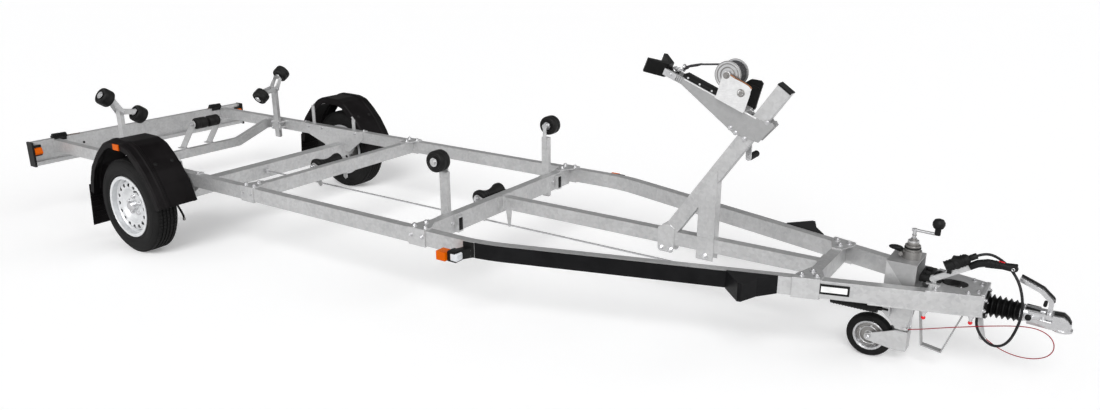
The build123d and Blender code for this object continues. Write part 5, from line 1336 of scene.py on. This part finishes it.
@dataclass
class KeelRollers:
    """Waisted keel rollers with their moulded rings, and the cradle's roller pair."""

    half: float = 100.0
    cradle_half: float = 94.0

    def waist(self) -> list[Pair]:
        """Shapes one half of a waisted roller.

        Returns:
            Its outline from the bore to the middle.
        """
        half = self.half
        return [
            (9.4, half), (30, half), (38, half), (42, half - 1.5), (44.5, half - 5), (45, half - 9),
            (45, half - 22), (43.5, half - 28), (38, half - 40), (33.5, half - 52), (32, half - 60),
            (32.6, half - 61), (31, half - 63), (28.4, 22), (27.2, 10),
        ]

    def pair(self) -> list[Pair]:
        """Shapes one half of the cradle's two rollers on their common waist.

        Returns:
            Its outline from the bore to the middle.
        """
        half = self.cradle_half
        return [
            (9.4, half), (26, half), (34, half - 0.5), (38, half - 3), (40, half - 8), (40, half - 30),
            (39, half - 31.5), (40, half - 33), (40, 16), (37.5, 10.5), (33, 8.2), (23, 7.6), (22, 6.5),
        ]

    def build(self) -> None:
        """The three rollers."""
        for name, centre, _ in KEEL_AXLES:
            side = self.pair() if name == "cradle" else self.waist()
            roller = turned(symmetric(side), centre, Axis.Y, 48).name(name + "_roller_rubber")
            body = name + "_roller"
            roller.paint(Finish.ROLLER).fit(body, SMOOTH_RUBBER, body, "roller_rubber")


# ---------------------------------------------------------------- winch
@dataclass
class WinchTrim(Trim):
    """Fittings of the winch and its head."""

    drum: Point = (3490.0, 0.0, 1293.0)
    wing: tuple[Pair, ...] = ((3508, 1298), (3530, 1285), (3569, 1271), (3598, 1257), (3611, 1244))
    nose: Point = (3233.0, 0.0, 1271.0)
    fold_end: Pair = (3661.0, 1098.0)

    def on_head(self) -> Matrix:
        """Placement at the head's nose: X down its upper edge, in metres."""
        slope = math.atan2(self.nose[2] - self.fold_end[1], self.fold_end[0] - self.nose[0])
        return Matrix.Translation(Vector(self.nose) / 1000) @ Matrix.Rotation(slope, 4, "Y")

    def drum_rings(self) -> list[Work]:
        """Models the rolled edges and rings of the drum's flanges, and its axle nut.

        Returns:
            The parts, for joining.
        """
        x, y, z = self.drum
        rows = [(44.0, 60.8, 2.6, 56), (46.5, 50.0, 2.4, 48), (46.5, 34.0, 2.8, 40)]
        works = [
            ring((x, side * out, z), Axis.Y, radius, half, steps)
            for side in SIDES for out, radius, half, steps in rows
        ]
        return works + [rod((x, -64, z), (x, -60, z), 15, 24), rod((x, -72, z), (x, -64, z), 11, 6)]

    def head_strip(self) -> Iterator[Row]:
        """Models the black guide strip along the head's upper edge, with its rivets.

        Yields:
            Each piece's name, finish and parts.
        """
        start, end = Vector((3262, 0, 1263)), Vector((3442, 0, 1190))
        turn = Matrix.Rotation(math.atan2(start.z - end.z, end.x - start.x), 4, "Y")
        place = Matrix.Translation(start / 1000) @ turn
        length = (end - start).length
        yield "guide_strip", Finish.PLASTIC, [box((0, -29, 0), (length, 29, 16)).round(2.5).move(place)]
        rivets = []
        for along in (28, 92, 158):
            for low, high in both_sides((along, 29, 8), (along, 31.5, 8)):
                rivets.append(rod(low, high, 5, 14).move(place))
        yield "guide_rivets", Finish.POLISHED, rivets

    def nose_ribs(self) -> list[Work]:
        """Models the pressed ribs and the eye on the bow stop's bracket.

        Returns:
            The parts, for joining.
        """
        place = self.on_head()
        works = []
        for side in SIDES:
            y0, y1 = sorted((side * 34.5, side * 38))
            works.append(box((-66, y0, -31), (2, y1, 2)).round(1.2, 1).move(place))
            y0, y1 = sorted((side * 29, side * 34))
            for along in (6, 16, 26):
                works.append(box((along, y0, -31), (along + 5, y1, 2)).round(1.2, 1).move(place))
        return works + [rod((-30, -43, -15), (-30, 43, -15), 9, 20).move(place)]

    def pieces(self) -> Iterator[Row]:
        """Models every winch fitting.

        Yields:
            Each piece's name, finish and parts.
        """
        # The strap wound on the drum, in turns that stand a little proud of each other.
        turns = [(40.4, -38), (40.4, 38), (54, 38), (56, 36), (55.2, 30), (55.2, -30), (56, -36), (54, -38)]
        yield "wound_strap", Finish.STRAP, [turned(turns, self.drum, Axis.Y, 56)]
        yield "drum_rings", Finish.DULL_STEEL, self.drum_rings()
        # The bush and end of the pinion shaft on the near cheek.
        yield "pinion_bush", Finish.DULL_STEEL, [
            ring((3563, -61.5, 1221), Axis.Y, 15.0, 3.2, 36),
            rod((3563, -66, 1221), (3563, -60, 1221), 9, 20),
        ]
        # The near cheek's upper part, rising to the drum's axle, and the rolled edge along it.
        corners = [*self.wing, (3604, 1222), (3560, 1215), (3515, 1235), (3500, 1290)]
        yield "cheek_wing", Finish.BRIGHT, [plate(corners, -59.95, -56.05).round(1.0, 1)]
        yield "cheek_edge", Finish.BRONZE, [
            rod((x, -59.0, z), (u, -59.0, w), 3.0, 12) for (x, z), (u, w) in zip(self.wing, self.wing[1:])
        ]
        # The bright folded edges along the head's top.
        yield "head_folds", Finish.BRIGHT, [
            box(low, high).round(1.4, 2).move(self.on_head())
            for low, high in both_sides((42, 28.5, -6), (430, 32, 1.5))
        ]
        # The strap's stitched end, doubled over at the hook.
        route = [(3262, 1296), (3276, 1309), (3333, 1321)]
        corners = [(x, z + 5) for x, z in route] + [(x, z - 5) for x, z in reversed(route)]
        yield "strap_end", Finish.STRAP, [plate(corners, -25, 25).round(1.5, 2)]
        yield from self.head_strip()
        # The strap's hook with its safety catch, and the pin through the bracket's ears.
        yield "strap_hook", Finish.POLISHED, [
            ring((3256, 0, 1300), Axis.X, 15, 3.6, 32), rod((3254, 0, 1292), (3222, 0, 1284), 5.0, 14),
            ring((3212, 0, 1290), Axis.Y, 11, 4.0, 28), rod((3218, -9, 1299), (3240, -9, 1299), 2.2, 10),
            rod((3226, -37, 1262), (3226, 37, 1262), 7.0, 16),
        ]
        yield "bracket_ribs", Finish.ZINC, self.nose_ribs()
        # The moulded gear cover's raised edge on the far cheek, and the crank grip's finger rings.
        corners = [(3532, 1150), (3538, 1246), (3562, 1262), (3602, 1258), (3612, 1248), (3588, 1134)]
        yield "gear_cover_edge", Finish.PLASTIC, [plate(corners, 74.5, 79.0).round(2.0)]
        yield "crank_grip_rings", Finish.PLASTIC, [
            ring((3565, 104 + 16 * i, 893), Axis.Y, 13.6, 2.2, 28) for i in range(6)
        ]


# ---------------------------------------------------------------- nose
@dataclass
class JockeyTrim(Trim):
    """The jockey wheel's rounded tyre, its rim and the rings of its tube."""

    tube_x: float = 4345.0
    beam_lean: float = 0.3024
    tyre_side: tuple[Pair, ...] = (
        (68.4, 22), (72, 24.5), (80, 25), (86, 24.4), (87, 23.4), (88, 24), (92, 22.4), (96.5, 18),
        (99, 12), (99.8, 8), (98.6, 7.4), (98.6, 6.2), (99.9, 5.6),
    )

    def rim(self) -> list[Work]:
        """Models the rim's rolled edges and rivets, and the hub's ends.

        Returns:
            The parts, for joining.
        """
        x, _, z = JOCKEY_WHEEL
        works = []
        for side in SIDES:
            works.append(ring((x, side * 21.5, z), Axis.Y, 65.5, 2.4, 48))
            works.append(ring((x, side * 15, z), Axis.Y, 40.0, 2.2, 40))
            works.append(rod((x, side * 24, z), (x, side * 30, z), 13, 20))
        for turn in range(5):
            angle = math.radians(72 * turn + 10)
            u, w = x + 42 * math.cos(angle), z + 42 * math.sin(angle)
            works.append(rod((u, -13, w), (u, 13, w), 5, 12))
        return works

    def pieces(self) -> Iterator[Row]:
        """Models every fitting round the tube.

        Yields:
            Each piece's name, finish and parts.
        """
        x = self.tube_x
        yield "jockey_tube_trim", Finish.DULL_STEEL, [
            ring((x, 0, 643), Axis.Z, 29.5, 2.6, 36),
            rod((x, 0, 646), (x, 0, 660), 23, 28).round(2.0),
            rod((x, 0, 660), (x, 0, 676), 13, 6).round(1.0, 1),
            ring((x, 0, 690), Axis.Z, 8.0, 2.0, 24),
            rod((x - 38, -34, 608), (x - 38, 34, 608), 5, 14),
            rod((x - 38, -37, 608), (x - 38, -29, 608), 9.5, 6),
        ]
        # The clamp's black lever pad and the black sleeve under the thrust cap.
        yield "jockey_clamp_pad", Finish.PLASTIC, [
            ball((x - 66, 0, 622), (30, 15, 11), 16), ring((x, 0, 634), Axis.Z, 30.0, 4.0, 36),
        ]
        # A thin rod from the box down beside the tube.
        yield "stay_wire", Finish.ZINC, [
            rod((4388, -58, 418), (4388, -58, 300), 3.2, 12), ball((4388, -58, 300), (4.5, 4.5, 4.5), 8),
        ]
        # Grease points under the right nose beam: steel cones and their red caps.
        places = [(x, -(NOSE_END_Y + (NOSE_END_X - x) * self.beam_lean)) for x in (4442, 4612)]
        cone = [(0, 0), (20, 0), (18, -6), (8, -24), (6, -36), (0, -36)]
        yield "grease_cones", Finish.POLISHED, [turned(cone, (x, y, 425), Axis.Z, 24) for x, y in places]
        yield "grease_caps", Finish.RED_CAP, [ball((x, y, 383), (9, 9, 9), 10) for x, y in places]

    def build(self) -> None:
        """Every jockey wheel fitting."""
        tyre = turned(symmetric(list(self.tyre_side)), JOCKEY_WHEEL, Axis.Y, 64).name("jockey_wheel_tyre")
        tyre.paint(Finish.TYRE).fit("jockey_wheel", SMOOTH_WHEEL, "jockey_tyre", "tyre_rubber")
        joined("jockey_rim_trim", Finish.ZINC, self.rim()).fit("jockey_wheel")
        super().build()


@dataclass
class CouplingTrim(Trim):
    """The rubber boot, the coupling's fittings, the brake lever's grip and the damper block."""

    boot_start: float = 4651.0
    boot_end: float = 4785.0
    shaft_z: float = 448.0
    folds: int = 5
    lever_y: float = -60.0
    beam_bend: Pair = (2565.0, 714.0)
    beam_tip: Pair = (NOSE_END_X, 85.0)
    beam_half: float = 24.6
    plate_place: Pair = (4105.0, 470.0)

    def boot(self) -> Work:
        """Turns the bellows: a clamped flange, deep folds and a neck.

        Returns:
            The boot.
        """
        profile = [(20.4, 0), (57, 0), (58.5, 2), (58.5, 8), (56, 10), (43, 11), (40, 13)]
        length = self.boot_end - self.boot_start
        pitch = (length - 30) / self.folds
        for fold in range(self.folds):
            a = 15 + fold * pitch
            out = 48.0 - 1.1 * fold
            profile += [
                (33.5, a + 0.02 * pitch), (35.0, a + 0.12 * pitch), (out - 3, a + 0.36 * pitch),
                (out, a + 0.44 * pitch), (out, a + 0.58 * pitch), (out - 3, a + 0.66 * pitch),
                (35.0, a + 0.90 * pitch),
            ]
        profile += [(36, length - 14), (38, length - 12), (38, length - 2), (36, length), (20.4, length)]
        boot = turned(profile, (self.boot_start, 0, self.shaft_z), Axis.X, 56)
        return boot.name("shaft_boot").paint(Finish.BOOT)

    def boot_clips(self) -> list[Work]:
        """Models the boot's steel band and the flange's screws.

        Returns:
            The parts, for joining.
        """
        works = [ring((4779, 0, self.shaft_z), Axis.X, 38.4, 2.0, 44)]
        for turn in range(6):
            angle = math.radians(60 * turn + 30)
            y, z = 52 * math.cos(angle), self.shaft_z + 52 * math.sin(angle)
            works.append(rod((4659, y, z), (4663.5, y, z), 4.2, 12))
        return works

    def dark_parts(self) -> list[Work]:
        """Models the pin's ends, the covers, the catch and the handle's edging.

        Returns:
            The parts, for joining.
        """
        nose = [(4893, 470), (4926, 471), (4944, 459), (4956, 440)]
        edge = [(4887, 508), (4886, 522), (4880, 530), (4842, 563.5), (4798, 582), (4759, 597)]
        return [
            rod((4809, -43, 444), (4809, 43, 444), 12, 24).round(2.0),
            plate([(4795, 474), (4846, 472), (4846, 477), (4795, 480)], -24, 24).round(1.5),
            plate(nose + [(x + 2.0, z + 4.5) for x, z in nose[::-1]], -13, 13).round(1.0, 1),
            rod((4858, -20, 502), (4858, 20, 502), 7, 18),
            plate(edge + [(x + 3.0, z + 4.5) for x, z in edge[::-1]], 5, 15).round(1.0, 1),
        ]

    def brake_grip(self) -> list[Work]:
        """Models the rubber sleeve over the brake lever's bend and end, with its rings.

        Returns:
            The parts, for joining.
        """
        y = self.lever_y
        route = [(4578, y, 618), (4606, y, 637), (4640, y, 648), (4690, y, 647), (4734, y, 643)]
        works = []
        for start, end in zip(route, route[1:]):
            works += [rod(start, end, 15.0, 28), ball(end, (15.0, 15.0, 15.0), 14)]
        return works + [ring((x, y, 647.5), Axis.X, 14.6, 1.8, 32) for x in (4652, 4668, 4684)]

    def blank_plate(self) -> Iterator[Row]:
        """Models the black-framed plate on the right nose beam, left blank.

        Yields:
            Each piece's name, finish and parts.
        """
        slope = math.atan2(self.beam_bend[1] - self.beam_tip[1], self.beam_tip[0] - self.beam_bend[0])
        x, z = self.plate_place
        y = -(NOSE_END_Y + (NOSE_END_X - x) * math.tan(slope)) - self.beam_half
        place = Matrix.Translation(Vector((x, y, z)) / 1000) @ Matrix.Rotation(slope, 4, "Z")
        border = box((-62, -2.2, -24), (62, 0.4, 22)).round(1.0, 1)
        yield "plate_frame", Finish.PLASTIC, [border.move(place)]
        yield "plate_face", Finish.WHITE, [box((-53, -3.0, -14), (53, -2.0, 12)).move(place)]

    def plug_trim(self) -> list[Work]:
        """Models the ribs, gland and hinged lid of the plug's holder.

        Returns:
            The parts, for joining.
        """
        start, end = Vector((4586, -60, 661)), Vector((4491.6, -87, 607))
        way = (end - start).normalized()
        works = []
        for along, radius in ((30, 24.5), (40, 25.5), (50, 26.0), (84, 24), (96, 24), (108, 24)):
            at = start + way * along
            works.append(rod(at, at + way * 4.5, radius, 32).round(0.8, 1))
        works.append(rod(start - way * 14, start + way * 14, 12.5, 24).round(2.0))
        return works + [box((4510, -98, 634), (4556, -52, 652)).round(4.0)]

    def pieces(self) -> Iterator[Row]:
        """Models every fitting but the boot.

        Yields:
            Each piece's name, finish and parts.
        """
        yield "boot_band", Finish.POLISHED, self.boot_clips()
        # The collar, pivot and pressed ribs of the coupling's neck.
        yield "coupling_trim", Finish.ZINC, [
            ring((4790, 0, self.shaft_z), Axis.X, 33.0, 3.0, 44),
            box((4815, -8, 468), (4866, 8, 474)).round(2.5),
            rod((4878, -38, 462), (4878, 38, 462), 8, 18),
            rod((4878, -42, 462), (4878, -37, 462), 12, 6),
            *(rod((4850, side * 39, 444), (4890, side * 39, 442), 5, 14) for side in SIDES),
        ]
        yield "coupling_covers", Finish.PLASTIC, self.dark_parts()
        yield "brake_grip", Finish.PLASTIC, self.brake_grip()
        # The red release mark on the grip and the steel eye at its end.
        mark = rod((4676, self.lever_y, 658), (4700, self.lever_y, 657), 6.5, 18)
        yield "grip_mark", Finish.RED_CAP, [mark.round(1.5, 1)]
        yield "grip_eye", Finish.POLISHED, [ring((4732, -75, 643), Axis.Y, 5.0, 1.8, 24)]
        # The black damper block between the jockey wheel's box and the top plate.
        yield "overrun_damper", Finish.PLASTIC, [
            box((4394, -58, 511), (4444, 62, 541)).round(4.0),
            box((4444, -52, 511), (4478, 50, 534)).round(4.0),
            rod((4420, 20, 540), (4420, 20, 552), 15, 28).round(2.0),
            rod((4420, -30, 540), (4420, -30, 549), 12, 28).round(2.0),
            rod((4462, 22, 534), (4462, 22, 544), 9, 6),
        ]
        # The folded rim round the top plate's slot and along its front edge.
        yield "top_plate_edges", Finish.PLATE, [
            *(rod((4523, side * 31, 511.5), (4557, side * 31, 511.5), 2.6, 12) for side in SIDES),
            box((4636, -80, 511), (4651, 80, 517)).round(2.0),
        ]
        # The black rubber seal round the slot, filled across the slot as painted shade of its hole.
        yield "slot_seal_and_shade", Finish.BOOT, [
            *(rod((x, 0, 511), (x, 0, 514), 35, 40) for x in (4512, 4542)),
            box((4512, -35, 511), (4542, 35, 514)),
        ]
        yield from self.blank_plate()
        yield "plug_rings", Finish.PLASTIC, self.plug_trim()

    def build(self) -> None:
        """Every coupling fitting."""
        self.boot().fit("chassis", SMOOTH_RUBBER, "bellows", "roller_rubber")
        super().build()


# ---------------------------------------------------------------- lamps and mudguards
@dataclass
class Lamps(Trim):
    """Lenses, seals and brackets of the lamps."""

    half: float = 858.0
    rear: float = -1366.0

    def pieces(self) -> Iterator[Row]:
        """Models every lamp fitting.

        Yields:
            Each piece's name, finish and parts.
        """
        lenses = [
            # finish, near and far end from the beam's end, low, high
            (Finish.AMBER, 42, 112, 374, 478), (Finish.RED_LENS, 116, 206, 374, 478),
            (Finish.CLEAR, 210, 268, 428, 478), (Finish.RED_LENS, 210, 268, 374, 424),
        ]
        for index, (finish, near, far, low, high) in enumerate(lenses):
            lens = box((self.rear - 0.3, self.half - far, low), (self.rear + 4, self.half - near, high))
            lens.round(1.5, 2)
            yield f"tail_lenses_{index}", finish, [lens, lens.mirrored()]
        # The marker lamps: their seals, clear front lenses and the brackets' rivets.
        ends = both_sides((2504, 758, 427), (2511, 808, 475))
        yield "marker_seals", Finish.PLASTIC, [box(*corners).round(7.0, 3) for corners in ends]
        ends = both_sides((2476, 764, 431), (2518, 814.5, 471))
        yield "marker_lenses", Finish.CLEAR, [box(*corners).round(9.0, 4) for corners in ends]
        yield "marker_rivets", Finish.POLISHED, [
            rod((2524, y, z), (2524, y + 4, z), 5, 14) for y in (-723, 719) for z in (438, 466)
        ]
        # The black wedges that hold the amber lamps on the light beam's ends.
        ends = both_sides((-1306.8, self.half - 54, 412), (-1291, self.half - 1, 490))
        yield "end_lamp_housings", Finish.PLASTIC, [box(*corners).round(4.0) for corners in ends]
        yield "beam_grommets", Finish.BOOT, [
            rod((-1307, y, 444), (-1305, y, 444), 8.5, 20) for y in (-497, 497)
        ]


@dataclass
class GuardTrim(Trim):
    """Bolts, clips and flap ribs of the mudguards, and the hooked stop beside each wheel."""

    dome: Point = (12.0, 12.0, 5.0)
    stop_radius: float = 6.5
    ribs: int = 5
    rib_pitch: float = 36.0
    top_rib: float = 300.0

    def bolts(self) -> list[Work]:
        """Models the dome heads where the stays hold the arched sheets.

        Returns:
            The parts, for joining.
        """
        works = []
        for x, z, lean in ((-196, 649, 39.4), (239, 588, -47.5)):
            turn = Matrix.Rotation(-math.radians(lean), 4, "Y")
            for y in (770, 880):
                head = ball((0, 0, 0), self.dome, 10)
                head.move(Matrix.Translation(Vector((x, y, z)) / 1000) @ turn)
                works += [head, head.mirrored()]
        return works

    def stop(self) -> Work:
        """Models the black hooked rod beside the left wheel.

        Returns:
            The rod.
        """
        route = [(120, 716, 300), (150, 718, 262), (178, 720, 236), (196, 721, 214), (200, 721, 196)]
        radius = self.stop_radius
        works = []
        for start, end in zip(route, route[1:]):
            works += [rod(start, end, radius, 16), ball(end, (radius, radius, radius), 10)]
        return joined("stop_rod", Finish.BOOT, works)

    def flap_ribs(self) -> list[Work]:
        """Models the ribs across each rubber flap.

        Returns:
            The parts, for joining.
        """
        works = []
        for step in range(self.ribs):
            z = self.top_rib - self.rib_pitch * step
            x = -384 - 26 * (345 - z) / 238
            rib = box((x - 1, 745, z), (x + 2.4, 965, z + 6)).round(1.0, 1)
            works += [rib, rib.mirrored()]
        return works

    def pieces(self) -> Iterator[Row]:
        """Models every mudguard fitting.

        Yields:
            Each piece's name, finish and parts.
        """
        yield "guard_bolts", Finish.PLASTIC, self.bolts()
        # The steel clip inside each outer skirt.
        ends = both_sides((92, 962, 640), (124, 972, 656))
        yield "guard_clips", Finish.POLISHED, [box(*corners).round(2.0) for corners in ends]
        # The stops beside the wheels, with their tips.
        stop, tip = self.stop(), ball((200, 721, 192), (10, 9, 12), 12)
        yield "guard_stop_rods", Finish.BOOT, [stop, stop.mirrored()]
        yield "guard_stop_tips", Finish.DULL_STEEL, [tip, tip.mirrored()]
        yield "flap_ribs", Finish.BOOT, self.flap_ribs()


# ---------------------------------------------------------------- frame trim
@dataclass
class FrameTrim(Trim):
    """Plugs, saddles, leads, springs and welds of the frame."""

    spring: Point = (4064.0, -66.0, 356.0)
    spring_pitch: float = 13.0
    spring_turns: int = 14
    lead_radius: float = 2.6

    def tube_plugs(self) -> list[Work]:
        """Models the black plugs in the middle posts' sockets and the posts' lower ends.

        Returns:
            The parts, for joining.
        """
        works = []
        for y in (-415, 522):
            works.append(box((2213, y - 14, 420), (2216.5, y + 14, 488)).round(1.4))
            works.append(box((2092, y - 10, 352), (2138, y + 10, 355.5)).round(1.0, 1))
        for side in SIDES:
            y = side * REAR_POST_Y
            works.append(box((REAR_POST_X - 23, y - 10, 369), (REAR_POST_X + 23, y + 10, 372.5)))
        return works

    def saddles(self) -> list[Work]:
        """Models the ribs, skirts and lids of the cable saddles.

        Returns:
            The parts, for joining.
        """
        works = []
        for y in (-655, 636):
            for at in range(y - 46, y + 10, 14):
                works.append(box((-1345, at, 526), (-1313, at + 6, 530)).round(1.0, 1))
            works.append(box((-1308, y - 46, 492), (-1299, y + 40, 516)).round(3.0))
            works.append(box((-1346, y - 46, 528), (-1314, y + 8, 540)).round(3.0))
        return works

    def welds(self) -> list[Work]:
        """Models the weld beads where members and brackets meet their beams.

        Returns:
            The parts, for joining.
        """
        seams = [
            # distance from the middle, start (x, z), end (x, z), radius
            (660, (-692, 503), (-588, 503), 2.6), (28, (3374, 498), (3462, 498), 2.6),
            (25, (2196, 497), (2196, 430), 3.0), (25, (3964, 497), (3964, 430), 3.0),
        ]
        return [
            rod((x, side * y, z), (u, side * y, w), radius, 10)
            for y, (x, z), (u, w), radius in seams for side in SIDES
        ]

    def pieces(self) -> Iterator[Row]:
        """Models every frame fitting.

        Yields:
            Each piece's name, finish and parts.
        """
        yield "tube_plugs", Finish.BOOT, self.tube_plugs()
        # Thin brown leads from the saddles along the light beam.
        yield "lamp_leads", Finish.BROWN_CABLE, [
            rod((-1330, y0, 515), (-1327, y1, 513.5), self.lead_radius, 10)
            for y0, y1 in ((-604, -505), (688, 560))
        ]
        yield "saddle_ribs", Finish.PLASTIC, self.saddles()
        # Coils and nuts along the brake rod's spring cylinder.
        x, y, z = self.spring
        coils = [x + self.spring_pitch * turn for turn in range(self.spring_turns)]
        yield "brake_spring", Finish.PLASTIC, [
            *(ring((at, y, z), Axis.X, 22.4, 2.4, 28) for at in coils),
            *(rod((at, y, z), (at + 14, y, z), 11, 6) for at in (4252, 4034)),
        ]
        yield "weld_beads", Finish.PLATE, self.welds()


def main() -> None:
    """Builds the studio and every piece, in order."""
    logging.basicConfig(level=logging.INFO, format="%(message)s")
    Studio().build()
    for cable in CABLES:
        cable.build()
    dressing = Dressing()
    dressing.apply()
    dressing.details()
    for section in (
        Fasteners(), RoadWheel(), BoatRollers(), KeelRollers(), WinchTrim(), JockeyTrim(), CouplingTrim(),
        Lamps(), GuardTrim(), FrameTrim(),
    ):
        section.build()
    Work.clear()


if __name__ == "__main__":
    main()
